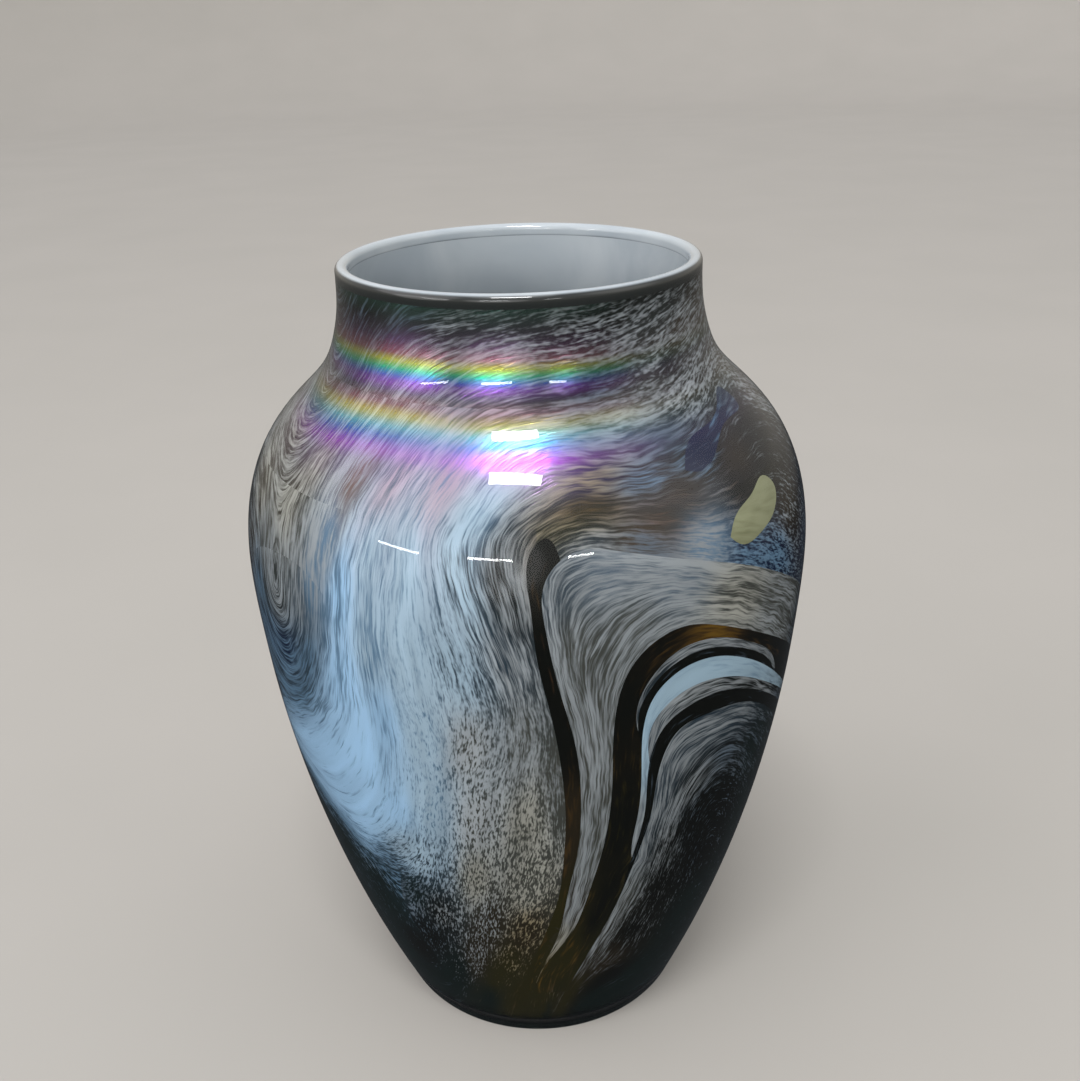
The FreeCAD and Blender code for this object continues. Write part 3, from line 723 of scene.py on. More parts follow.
# For each batch of glass: (degrees round, height, how much of the dark glass the pale threads cover,
# the tint of the threads, the tint under them, from combed threads at 0 to short frit at 1)
GLASS_BATCHES = {
    "frit": (
        (-22, 188, .66, "ice", "haze", .1), (-12, 187, .56, "ice", "dusk", .1),
        (-5, 184, .44, "mist", "soot", .1), (-22, 165, .68, "ice", "haze", .3),
        (-13, 163, .64, "ice", "dusk", .4), (-4, 164, .48, "pearl", "dusk", .1),
        (-21, 140, .7, "ice", "haze", .7), (-12, 138, .6, "pearl", "ash", .9),
        (-2, 142, .48, "mist", "ash", .4), (-22, 115, .68, "ice", "haze", .8),
        (-12, 112, .6, "pearl", "ash", 1), (-2, 112, .54, "stone", "ash", .8),
        (4, 125, .34, "mist", "ash", .4), (-25, 92, .6, "ice", "dusk", .9),
        (-14, 88, .55, "stone", "ash", 1), (-2, 86, .46, "stone", "ash", 1),
        (-31, 76, .34, "slate", "teal", .9), (-25, 68, .3, "mist", "soot", 1),
        (-13, 66, .36, "mist", "peat", 1), (-4, 64, .3, "sand", "peat", 1),
        (-31, 52, .2, "slate", "soot", .9), (-18, 48, .36, "mist", "peat", 1),
        (-9, 46, .26, "sand", "olive", .9), (-2, 44, .06, "sand", "olive", .6),
        (-26, 36, .14, "mist", "teal", .8), (-14, 35, .08, "sand", "olive", .6),
        (2, 34, .02, "sand", "olive", .3),
    ),
    "sweep": (
        (-30, 190, .56, "ice", "haze", .05), (-36, 178, .52, "sky", "haze", 0),
        (-30, 166, .6, "ice", "haze", 0), (-37, 152, .6, "sky", "haze", 0),
        (-29, 142, .74, "sky", "haze", 0), (-35, 126, .86, "sky", "haze", 0),
        (-46, 118, .92, "sky", "haze", 0), (-58, 116, .9, "sky", "haze", 0),
        (-67, 114, .8, "sky", "haze", 0), (-30, 110, .78, "sky", "haze", .2),
        (-40, 103, .84, "sky", "haze", 0), (-52, 106, .86, "sky", "haze", 0),
        (-30, 94, .6, "ice", "dusk", .7), (-42, 92, .62, "sky", "haze", .4),
        (-36, 86, .44, "haze", "dusk", .8), (-48, 91, .56, "haze", "dusk", .3),
        (-60, 101, .6, "haze", "dusk", .2),
    ),
    "feather": (
        (-46, 172, .52, "mist", "dusk", .1), (-55, 170, .44, "mist", "smoke", .1),
        (-64, 166, .46, "haze", "smoke", .1), (-47, 154, .54, "haze", "dusk", .1),
        (-55, 152, .46, "haze", "navy", .1), (-64, 150, .48, "haze", "navy", .1),
        (-53, 138, .52, "haze", "dusk", .05), (-63, 136, .56, "haze", "dusk", 0),
        (-70, 142, .5, "haze", "dusk", 0),
    ),
    "upper_left": (
        (-60, 182, .5, "mist", "ash", .1), (-48, 186, .52, "mist", "ash", .2),
        (-40, 192, .54, "pearl", "haze", .2), (-72, 180, .44, "mist", "peat", .2),
        (-44, 178, .56, "mist", "haze", .1), (-54, 194, .54, "stone", "peat", .2),
        (-80, 160, .36, "slate", "soot", .2), (-68, 194, .46, "stone", "peat", .2),
    ),
    "smoke": (
        (-45, 83, .42, "haze", "teal", .8), (-56, 92, .4, "haze", "teal", .6),
        (-38, 77, .42, "haze", "teal", .9), (-66, 101, .34, "haze", "teal", .4),
        (-44, 74, .14, "slate", "teal", .9), (-54, 80, .08, "slate", "teal", .6),
        (-62, 86, .08, "slate", "teal", .4), (-44, 60, .06, "slate", "teal", .9),
        (-60, 50, .03, "slate", "teal", .5), (-38, 42, .04, "slate", "soot", .9),
        (-78, 96, .2, "slate", "teal", .3), (-76, 130, .3, "haze", "dusk", .1),
        (-50, 30, .02, "slate", "teal", .5),
    ),
    "plume": (
        (4, 186, .46, "mist", "dusk", .1), (14, 186, .56, "mist", "slate", .1),
        (27, 181, .56, "mist", "slate", .1), (40, 172, .52, "stone", "ash", .1),
        (55, 160, .46, "mist", "ash", .1), (8, 168, .5, "mist", "ash", .1),
        (17, 173, .54, "mist", "ash", .1), (11, 148, .5, "mist", "ash", 0),
        (11, 122, .5, "mist", "ash", 0), (10, 96, .52, "mist", "ash", 0),
        (7.5, 76, .56, "mist", "peat", 0), (3.5, 56, .66, "stone", "olive", 0),
        (.5, 46, .5, "sand", "olive", 0), (75, 140, .42, "slate", "soot", .2),
        (100, 100, .3, "slate", "soot", .4), (120, 50, .1, "slate", "teal", .5),
    ),
    "amber": (
        (1.5, 188, .1, "umber", "soot", 0), (1.5, 165, .1, "rust", "soot", 0),
        (5, 140, .08, "umber", "soot", 0), (6.5, 110, .2, "umber", "peat", 0),
        (4, 70, .22, "umber", "olive", 0), (-2, 42, .3, "honey", "olive", 0),
        (17, 150, .06, "umber", "soot", 0), (24, 166, .16, "umber", "soot", 0),
        (35, 164, .56, "honey", "umber", 0), (46, 155, .24, "umber", "soot", 0),
        (60, 142, .05, "umber", "soot", 0), (17, 110, .1, "olive", "soot", 0),
        (14, 72, .12, "olive", "soot", 0), (6, 46, .22, "honey", "olive", 0),
        (90, 100, .05, "umber", "soot", 0),
    ),
    "opal": (
        (22, 148, .9, "opal", "haze", 0), (30, 153.5, .96, "opal", "haze", 0),
        (42, 149, .92, "opal", "haze", 0), (60, 130, .74, "opal", "slate", 0),
        (80, 104, .6, "haze", "slate", 0), (21, 128, .7, "opal", "slate", 0),
        (20.6, 108, .56, "pearl", "dusk", 0), (20.4, 94, .46, "mist", "dusk", 0),
        (105, 55, .36, "slate", "dusk", 0), (200, 152, .82, "opal", "haze", 0),
        (150, 52, .4, "slate", "dusk", 0), (150, 32, .04, "slate", "teal", 0),
        (248, 52, .4, "slate", "dusk", 0), (248, 32, .04, "slate", "teal", 0),
    ),
    "under": (
        (30, 147, .46, "pearl", "smoke", 0), (22.5, 138, .52, "mist", "dusk", 0),
        (48, 139, .46, "mist", "soot", 0), (70, 116, .38, "slate", "soot", 0),
        (22, 120, .52, "mist", "dusk", 0), (100, 70, .26, "slate", "soot", 0),
    ),
    "dark": (
        (30, 141, .06, "slate", "soot", 0), (21, 110, .05, "slate", "soot", 0),
        (70, 112, .08, "slate", "soot", 0), (194, 131, .08, "slate", "soot", 0),
        (40, 20, .04, "slate", "teal", 0),
    ),
    "fan": (
        (25.5, 116, .54, "mist", "dusk", .05), (22, 92, .56, "mist", "dusk", .05),
        (19, 75, .56, "mist", "ash", .05), (14.5, 58, .56, "mist", "peat", .05),
        (9, 44, .52, "mist", "peat", .05), (4, 33, .3, "sand", "olive", .1),
        (29, 131, .54, "mist", "dusk", .05), (40, 131, .52, "mist", "dusk", .05),
        (33, 114, .42, "mist", "soot", .1), (42, 120, .44, "slate", "soot", .1),
        (54, 112, .26, "slate", "teal", .3), (29, 92, .36, "mist", "soot", .3),
        (37, 102, .18, "slate", "soot", .6), (44, 100, .12, "slate", "soot", .9),
        (30, 72, .16, "mist", "soot", .6), (40, 82, .1, "slate", "soot", .9),
        (60, 84, .04, "slate", "teal", .8), (24, 56, .2, "mist", "soot", .4),
        (18, 42, .24, "mist", "peat", .3), (45, 50, .01, "slate", "teal", .8),
        (80, 60, .03, "slate", "teal", .8), (20, 32, .03, "slate", "soot", .4),
    ),
    "navy": (
        (10, 194.5, .5, "pearl", "dusk", .2), (22, 192.5, .56, "slate", "umber", .3),
        (34, 188, .56, "mist", "haze", .3), (44, 182, .5, "haze", "navy", .6),
        (54, 176, .5, "haze", "navy", .8), (62, 184, .3, "mist", "peat", .7),
        (48, 197, .08, "umber", "soot", .1), (26, 196.5, .3, "rust", "peat", .1),
        (8, 197, .38, "sand", "olive", .1), (74, 168, .36, "slate", "navy", .8),
        (92, 132, .3, "slate", "soot", .8), (112, 84, .14, "slate", "teal", .8),
        (120, 40, .03, "slate", "teal", .8), (100, 190, .38, "mist", "peat", .4),
        (58, 199, .14, "mist", "soot", .3),
    ),
    "shawl": (
        (0, 211, .52, "pearl", "ash", .1), (14, 207, .5, "sand", "navy", .05),
        (18, 213, .48, "mist", "ash", .1), (26, 217, .5, "mist", "ash", .3),
        (34, 212, .44, "slate", "dusk", .05), (46, 218, .5, "pearl", "soot", .6),
        (58, 219, .42, "mist", "soot", .6), (12, 201, .34, "honey", "olive", .05),
        (32, 201, .2, "umber", "peat", .05), (50, 203, .16, "umber", "peat", .05),
        # Partly painted reflection: the pale mauve threads at the front left of the shoulder stand in for a
        # soft glow of light there
        (62, 206, .14, "mist", "soot", .2), (-8, 203, .66, "ice", "haze", .1),
        (-16, 208, .64, "mauve_sheen", "haze", .1), (-28, 206, .54, "mauve_sheen", "slate", .1),
        (-38, 204, .5, "mist", "rust", .2), (-50, 206, .4, "stone", "peat", .2),
        (-64, 208, .42, "stone", "peat", .3), (-10, 218, .46, "mauve_sheen", "ash", .1),
        (-34, 218, .4, "mist", "smoke", .1), (-56, 218, .38, "mist", "soot", .2),
        (80, 212, .42, "mist", "soot", .5), (110, 208, .4, "mist", "peat", .5),
        (160, 210, .46, "ice", "dusk", .3), (210, 208, .5, "mist", "dusk", .2),
        (255, 210, .46, "stone", "peat", .4), (24, 205, .5, "haze", "peat", .05),
        (40, 206, .3, "haze", "soot", .05),
    ),
    "neck": (
        (-56, 226, .34, "slate", "smoke", .2), (-56, 240, .28, "slate", "soot", .2),
        (-38, 228, .34, "mist", "smoke", .2), (-36, 241, .26, "slate", "smoke", .2),
        (-18, 230, .38, "mist", "smoke", .2), (-16, 242, .34, "mist", "smoke", .3),
        (2, 226, .4, "mist", "smoke", .2), (0, 240, .4, "mist", "smoke", .4),
        (20, 226, .38, "slate", "soot", .3), (20, 240, .38, "mist", "soot", .5),
        (40, 226, .4, "mist", "soot", .6), (42, 240, .38, "mist", "smoke", .6),
        (60, 236, .42, "mist", "peat", .4), (100, 232, .42, "mist", "peat", .4),
        (150, 232, .42, "mist", "dusk", .2), (200, 234, .4, "slate", "soot", .2),
        (250, 234, .42, "mist", "soot", .3),
    ),
    "back": (
        (140, 60, .1, "mist", "teal", .8), (136, 110, .34, "stone", "soot", .9),
        (142, 160, .46, "stone", "ash", .5), (180, 170, .56, "ice", "dusk", .1),
        (220, 166, .6, "sky", "haze", .1), (248, 130, .46, "ice", "soot", .3),
        (256, 80, .2, "stone", "soot", .8), (262, 140, .4, "stone", "soot", .5),
        (255, 186, .48, "pearl", "peat", .2), (160, 190, .48, "pearl", "peat", .2),
        (250, 40, .03, "stone", "teal", .8), (200, 188, .56, "ice", "dusk", .1),
    ),
    "back_fan": (
        (194, 118, .48, "pearl", "soot", .2), (176, 90, .44, "pearl", "soot", .2),
        (214, 88, .44, "pearl", "soot", .2), (194, 88, .3, "slate", "soot", .7),
        (194, 60, .08, "slate", "teal", .8), (165, 50, .3, "stone", "peat", .3),
        (225, 50, .24, "stone", "peat", .3), (194, 34, .02, "slate", "teal", .5),
        (165, 32, .04, "slate", "teal", .3), (225, 32, .04, "slate", "teal", .3),
    ),
    "celadon": (
        (50, 191, .8, "celadon", "moss", 0), (42, 188, .55, "celadon", "moss", 0),
    ),
    "hook": (
        (40, 208, .1, "slate", "navy", 0), (52, 211, .22, "haze", "navy", 0),
        (62, 213.5, .34, "slate", "navy", 0),
    ),
    "foot": (
        (0, 28, .16, "honey", "olive", 0), (-8, 26, .1, "umber", "olive", 0),
        (8, 26, .14, "umber", "olive", 0), (0, 18, .08, "umber", "olive", 0),
        (-18, 22, .06, "olive", "teal", 0), (18, 20, .08, "olive", "teal", 0),
        (-30, 28, .03, "slate", "teal", .5), (30, 28, .03, "slate", "teal", .5),
        (40, 16, .1, "slate", "teal", 0), (-40, 16, .06, "slate", "teal", 0),
        (0, 10, .05, "slate", "teal", 0), (120, 16, .06, "slate", "teal", 0),
        (200, 16, .06, "slate", "teal", 0), (270, 16, .06, "slate", "teal", 0),
    ),
}

# Which batches each piece is made of. Neighbours that share a batch run into each other softly.
PIECE_BATCHES = {
    "dark_foot": ("foot", "frit", "fan", "smoke"),
    "front_frit_field": ("frit", "sweep", "shawl", "foot"),
    "left_pale_sweep": ("sweep", "frit", "feather", "upper_left", "shawl", "back"),
    "left_blue_feather": ("feather", "sweep", "upper_left", "shawl", "back"),
    "smoke_dark_field": ("smoke", "upper_left", "feather", "shawl", "sweep", "foot", "back"),
    "centre_plume": ("plume",),
    "first_amber_line": ("amber", "foot"),
    "amber_arch": ("amber", "foot"),
    "grey_sub_arch": ("under",),
    "dark_arch_line": ("dark",),
    "opal_arch": ("opal",),
    "grey_under_arch": ("under",),
    "lower_dark_arch": ("dark",),
    "right_frit_fan": ("fan", "foot"),
    "navy_speckle_field": ("navy", "shawl", "back", "foot"),
    "back_frit_field": ("back", "upper_left", "shawl", "feather", "sweep", "smoke", "navy", "foot"),
    "back_frit_fan": ("back_fan", "foot"),
    "back_dark_arch": ("dark",),
    "back_opal_arch": ("opal",),
    "celadon_eye": ("celadon",),
    "navy_hook": ("hook",),
    "shoulder_shawl": ("shawl", "neck", "upper_left", "sweep", "frit", "feather", "navy", "back"),
    "neck_band": ("neck", "shawl"),
}
# How far a spot of glass spreads along its streak and across it, in millimetres
SPREAD_ALONG = 26.0
SPREAD_ACROSS = 11.0
# How wide a spot stays itself, and how fast it gives way to its neighbours
SPOT_CORE = 0.06
SPOT_FALL = 1.8
# How far the spacing of the threads follows the pull of the glass, in doublings
FINENESS_LIMITS = (-2.0, 3.0)


def glass_at(batches, where, flow, combed):
    """Cover, grain and the two tints at points of the drawing, blended from the spots of some batches."""
    spots = [spot for batch in batches for spot in GLASS_BATCHES[batch]]
    at = on_drawing([spot[:2] for spot in spots])
    spot_flow = combed(at)
    round_girth = 360 * DEGREE
    across = where[:, None, 0] - at[None, :, 0]
    across -= round_girth * np.round(across / round_girth)
    nearness = (across ** 2 + (where[:, None, 1] - at[None, :, 1]) ** 2) / SPREAD_ALONG ** 2
    nearness += (flow[:, None] - spot_flow[None]) ** 2 / SPREAD_ACROSS ** 2
    weights = 1 / (SPOT_CORE + nearness) ** SPOT_FALL
    weights /= weights.sum(axis=1)[:, None]
    return {
        "cover": weights @ np.array([spot[2] for spot in spots]),
        "grain": weights @ np.array([spot[5] for spot in spots], float),
        "thread_tint": weights @ np.array([tint(spot[3]) for spot in spots]),
        "under_tint": weights @ np.array([tint(spot[4]) for spot in spots]),
    }


def run_of_glass(where, combed, step=0.5):
    """The run of the streaks over the drawing, and the doublings that set them a millimetre apart."""
    flow = combed(where)
    slope = [(combed(where + reach) - flow) / step for reach in ((step, 0), (0, step))]
    return flow, np.clip(-np.log2(np.hypot(*slope) + 1e-6), *FINENESS_LIMITS)


def mark_glass(mesh, name, where, run, combed):
    """Writes on a piece how its glass runs and what it is made of, for its material to read."""
    flow, fineness = run
    glass = glass_at(PIECE_BATCHES[name], where, flow, combed)
    glass["flow"] = flow
    glass["fineness"] = fineness
    for label, values in glass.items():
        kind, field = ("FLOAT_COLOR", "color") if values.ndim == 2 else ("FLOAT", "value")
        if values.ndim == 2:
            values = np.column_stack([values, np.ones(len(values))])
        layer = mesh.attributes.new(label, kind, "POINT")
        layer.data.foreach_set(field, values.astype(np.float32).ravel())


def place_on_wall(where, depth):
    """Points of the drawing on the wall of the vase, at a depth under the outside, in metres."""
    angles = where[:, 0] / BELLY_RADIUS
    radii = wall_radius(depth, where[:, 1])
    return np.column_stack([radii * np.sin(angles), -radii * np.cos(angles), where[:, 1]]) * MM


def tile_piece(name, points, triangles, run, combed, finish):
    """One coloured piece of the skin: its outside, its inside and the cut faces between them."""
    used, corners = np.unique(triangles, return_inverse=True)
    corners = corners.reshape(-1, 3)
    where = points[used]
    count = len(used)
    edges = np.vstack([corners[:, [0, 1]], corners[:, [1, 2]], corners[:, [2, 0]]])
    _, place, shared = np.unique(np.sort(edges, axis=1), axis=0, return_inverse=True, return_counts=True)
    rim = edges[shared[place.ravel()] == 1]
    faces = [tuple(face) for face in corners.tolist()]
    faces += [(c + count, b + count, a + count) for a, b, c in corners.tolist()]
    faces += [(b, a, a + count, b + count) for a, b in rim.tolist()]
    outside_points = place_on_wall(where, CASING_THICKNESS - SEATING)
    inside_points = place_on_wall(where, CASING_THICKNESS + COLOUR_THICKNESS)
    mesh = bpy.data.meshes.new(name + "_glass")
    mesh.from_pydata(np.vstack([outside_points, inside_points]).tolist(), [], faces)
    both = np.vstack([where, where])
    mark_glass(mesh, name, both, [np.tile(part[used], 2) for part in run], combed)
    mesh.materials.append(finish)
    smooth_over(mesh)
    return link(bpy.data.objects.new(mesh.name, mesh))


def close_seam(points, triangles):
    """Joins the right side of the drawing to its left side, so that pieces run round the back in one."""
    left, right = SEAM[0] * DEGREE, SEAM[1] * DEGREE
    at_left = {round(points[i, 1], 2): i for i in np.flatnonzero(points[:, 0] < left + 1e-3)}
    joined = np.arange(len(points))
    for i in np.flatnonzero(points[:, 0] > right - 1e-3):
        joined[i] = at_left[round(points[i, 1], 2)]
    return joined[triangles]


# ---- finishes ----

def new_finish(name):
    """An empty material and its node tree."""
    material = bpy.data.materials.new(name)
    material.use_nodes = True
    tree = material.node_tree
    tree.nodes.clear()
    return material, tree


def end_finish(tree, shader):
    """Ends a material's tree with its surface."""
    out = add_node(tree, "ShaderNodeOutputMaterial")
    tree.links.new(shader, out.inputs["Surface"])


def mark(tree, label, output="Fac"):
    """What mark_glass wrote on the piece under a label."""
    return add_node(tree, "ShaderNodeAttribute", {"attribute_name": label}).outputs[output]


def scaled(tree, vector, scale):
    node = add_node(tree, "ShaderNodeVectorMath", {"operation": "SCALE"})
    wire(tree, node, "Vector", vector)
    wire(tree, node, "Scale", scale)
    return node.outputs[0]


def vector_maths(tree, operation, vector, fixed=None, output=0):
    """A vector operation on a socket, and on a fixed vector where it takes two."""
    node = add_node(tree, "ShaderNodeVectorMath", {"operation": operation}, Vector=vector)
    if fixed is not None:
        node.inputs[1].default_value = fixed
    return node.outputs[output]


def threads(tree, place, run, width, length, detail=1.0):
    """Noise drawn out along the run of the glass: threads this wide and this long, in millimetres.

    Where the glass was pulled apart a finer set takes over from a coarser one, so threads keep their width.
    """
    flow, doubling, share = run
    stretched = scaled(tree, place, 1 / (MM * length))
    sets = []
    for fineness in (1, 2):
        noise = add_node(
            tree, "ShaderNodeTexNoise", {"noise_dimensions": "4D"}, Scale=1.0, Detail=detail, Roughness=0.5,
        )
        wire(tree, noise, "Vector", stretched)
        closeness = maths(tree, "MULTIPLY", doubling, fineness / width)
        wire(tree, noise, "W", maths(tree, "MULTIPLY", flow, closeness))
        sets.append(noise.outputs[0])
    both = blend(tree, share, *sets, "FLOAT")
    # Two half-shares of noise are flatter than one whole; this gives the contrast back.
    evenness = maths(tree, "MULTIPLY", share, maths(tree, "SUBTRACT", 1.0, share))
    flatness = maths(tree, "SUBTRACT", 1.0, evenness)
    lift = maths(tree, "DIVIDE", maths(tree, "SUBTRACT", both, 0.5), flatness)
    return maths(tree, "ADD", lift, 0.5)


def glass_run(tree, place):
    """How the streaks run: their surface, slightly swaying, its doublings and the share of the finer set."""
    fineness = mark(tree, "fineness")
    doublings = maths(tree, "FLOOR", fineness)
    apart = maths(tree, "POWER", 2.0, maths(tree, "MULTIPLY", fineness, -1.0))
    sway = add_node(tree, "ShaderNodeTexNoise", Vector=place, Scale=SWAY_PATCHES, Detail=2.0).outputs[0]
    sway = maths(tree, "MULTIPLY", maths(tree, "SUBTRACT", sway, 0.5), maths(tree, "MULTIPLY", apart, SWAY))
    flow = maths(tree, "ADD", sway, mark(tree, "flow"))
    return flow, maths(tree, "POWER", 2.0, doublings), maths(tree, "SUBTRACT", fineness, doublings)


def weighted(tree, *pairs):
    """The sum of some values, each times its weight."""
    total = 0.0
    for value, weight in pairs:
        total = maths(tree, "MULTIPLY_ADD", value, weight, total)
    return total


def blend(tree, share, first, second, kind="RGBA", mode="MIX"):
    """The first of two values where the share is 0, the second where it is 1."""
    settings = {"data_type": kind, "blend_type": mode} if kind == "RGBA" else {"data_type": kind}
    node = add_node(tree, "ShaderNodeMix", settings)
    sockets = [socket for socket in node.inputs if socket.enabled]
    for socket, value in zip(sockets, (share, first, second)):
        if isinstance(value, bpy.types.NodeSocket):
            tree.links.new(value, socket)
        else:
            socket.default_value = value
    return next(socket for socket in node.outputs if socket.enabled)


def ranged(tree, value, low, high, to_low=0.0, to_high=1.0, smooth=True):
    """A value moved from one range to another, and held at its ends."""
    node = add_node(tree, "ShaderNodeMapRange", {"interpolation_type": "SMOOTHSTEP" if smooth else "LINEAR"})
    labels = ("Value", "From Min", "From Max", "To Min", "To Max")
    for label, given in zip(labels, (value, low, high, to_low, to_high)):
        wire(tree, node, label, given)
    return node.outputs[0]


# The lustre: tints that the metal vapour left on the shoulder and the neck, by share of the height
LUSTRE_BANDS = (
    (0.790, (0.02, 0.02, 0.02)), (0.812, (0.12, 0.09, 0.12)), (0.834, (0.22, 0.10, 0.30)),
    (0.845, (0.60, 0.06, 1.0)), (0.855, (0.03, 0.20, 1.0)), (0.864, (0.20, 0.85, 1.0)),
    (0.873, (1.0, 0.90, 0.08)), (0.882, (0.50, 0.16, 0.20)), (0.893, (0.10, 0.05, 0.12)),
    (0.905, (0.34, 0.04, 0.70)), (0.912, (0.03, 0.22, 1.0)), (0.919, (0.03, 1.0, 0.40)),
    (0.926, (0.95, 1.0, 0.08)), (0.934, (0.60, 0.16, 0.26)), (0.948, (0.22, 0.08, 0.28)),
    (0.968, (0.06, 0.06, 0.10)), (0.986, (0.16, 0.42, 0.34)),
)
# The fumes reached the glass from one side, degrees to the right of the front, and left the far side thin
FUMED_FROM = -26.0
THIN_LUSTRE = (0.03, 0.03, 0.04, 1)
# The lustre grows from its least to full between these cosines of the angle to that side
FUMED_FACING = (0.46, 0.88)
LEAST_LUSTRE = 0.06
# The rings wander by this share of the height, over patches this fine
LUSTRE_WANDER = 0.018
LUSTRE_PATCHES = 14.0
# Takes the height out of a place
LEVEL = (1, 1, 0)


def lustre_tint(tree, place):
    """The lustre's tint, in uneven rings round the neck and shoulder."""
    height = add_node(tree, "ShaderNodeSeparateXYZ", Vector=place).outputs["Z"]
    drift = add_node(tree, "ShaderNodeTexNoise", Vector=place, Scale=LUSTRE_PATCHES, Detail=1.0).outputs[0]
    share = maths(tree, "DIVIDE", height, VASE_HEIGHT * MM)
    share = maths(tree, "MULTIPLY_ADD", maths(tree, "SUBTRACT", drift, 0.5), LUSTRE_WANDER, share)
    ramp = add_node(tree, "ShaderNodeValToRGB", Fac=share)
    stops = ramp.color_ramp.elements
    while len(stops) < len(LUSTRE_BANDS):
        stops.new(0.5)
    for stop, (at, colour) in zip(stops, LUSTRE_BANDS):
        stop.position = at
        stop.color = (*colour, 1)
    toward = (math.sin(math.radians(FUMED_FROM)), -math.cos(math.radians(FUMED_FROM)), 0)
    outward = vector_maths(tree, "NORMALIZE", vector_maths(tree, "MULTIPLY", place, LEVEL))
    facing = vector_maths(tree, "DOT_PRODUCT", outward, toward, "Value")
    strength = ranged(tree, facing, *FUMED_FACING, LEAST_LUSTRE, 1.0)
    return blend(tree, strength, THIN_LUSTRE, ramp.outputs[0])


NO_LUSTRE = (0.02, 0.02, 0.02, 1)
# How far the streaks sway from their run, in millimetres, and how fine the sway is
SWAY = 2.4
SWAY_PATCHES = 90.0
# The sets of combed threads: how many threads wide, how long in millimetres, and their weight
HAIRS = (1, 7.0, 0.52)
STRANDS = (2.4, 18.0, 0.30)
SWATHES = (9, 40.0, 0.18)
# The same for frit, in widths of a grain; some of the hairs run through it
CRUMBS = (1, 1.8, 0.72)
CLUSTERS = (5, 9.0, 0.12)
HAIRS_IN_FRIT = 0.16
# The pale glass shows where the threads' noise is over a level, which falls as they cover more
BARE_LEVEL = 0.68
LEVEL_FALL = -0.36
THREAD_SOFTNESS = 0.11
FRIT_SOFTNESS = 0.075
# Swathes of threads are paler or deeper by these shares
SWATHE_TONES = (0.82, 1.12)
GLOSS_INDEX = 2.0
DARK_ROUGHNESS = 0.19
PALE_ROUGHNESS = 0.15
THREAD_RELIEF = 0.00012


def combed_glass(name, thread=0.50, frit=0.52, contrast=1.0, lustred=False):
    """Coloured glass under the casing: pale threads and frit combed through a darker glass."""
    material, tree = new_finish(name)
    place = add_node(tree, "ShaderNodeTexCoord").outputs["Object"]
    run = glass_run(tree, place)
    hairs, strands, swathes = (
        threads(tree, place, run, thread * widths, length) for widths, length, _ in (HAIRS, STRANDS, SWATHES)
    )
    crumbs, clusters = (
        threads(tree, place, run, frit * widths, length) for widths, length, _ in (CRUMBS, CLUSTERS)
    )
    combed = weighted(tree, (hairs, HAIRS[-1]), (strands, STRANDS[-1]), (swathes, SWATHES[-1]))
    fritted = weighted(tree, (crumbs, CRUMBS[-1]), (hairs, HAIRS_IN_FRIT), (clusters, CLUSTERS[-1]))
    level = blend(tree, mark(tree, "grain"), combed, fritted, "FLOAT")
    edge = maths(tree, "MULTIPLY_ADD", mark(tree, "cover"), LEVEL_FALL, BARE_LEVEL)
    softness = blend(
        tree, mark(tree, "grain"), THREAD_SOFTNESS / contrast, FRIT_SOFTNESS / contrast, "FLOAT",
    )
    bare, covered = (maths(tree, side, edge, softness) for side in ("SUBTRACT", "ADD"))
    share = ranged(tree, level, bare, covered)
    tone = ranged(tree, swathes, 0.3, 0.7, *SWATHE_TONES, smooth=False)
    thread_tint = blend(tree, 1.0, mark(tree, "thread_tint", "Color"), tone, mode="MULTIPLY")
    colour = blend(tree, share, mark(tree, "under_tint", "Color"), thread_tint)
    bump = add_node(tree, "ShaderNodeBump", Strength=0.25, Distance=THREAD_RELIEF, Height=share)
    shader = add_node(tree, "ShaderNodeBsdfPrincipled", IOR=GLOSS_INDEX)
    wire(tree, shader, "Base Color", colour)
    wire(tree, shader, "Roughness", ranged(tree, share, 0.0, 1.0, DARK_ROUGHNESS, PALE_ROUGHNESS))
    shader.inputs["Specular IOR Level"].default_value = 1.0
    wire(tree, shader, "Specular Tint", lustre_tint(tree, place) if lustred else NO_LUSTRE)
    wire(tree, shader, "Normal", bump.outputs[0])
    end_finish(tree, shader.outputs[0])
    return material


# The casing: its index, how rough its least polished patches are, and how thick its ripples stand
CASING_INDEX = 1.38
LEAST_POLISH = 0.035
CASING_RIPPLE = 0.0006
# Between these heights, in metres, the casing clears from a painted shade at its foot: a dark teal tint that
# darkens the bottom and hides the pale floor seen through it
FOOT_PAINTED_SHADE = (0.006, 0.017)
CLEAR = (0.99, 1.0, 0.995, 1)


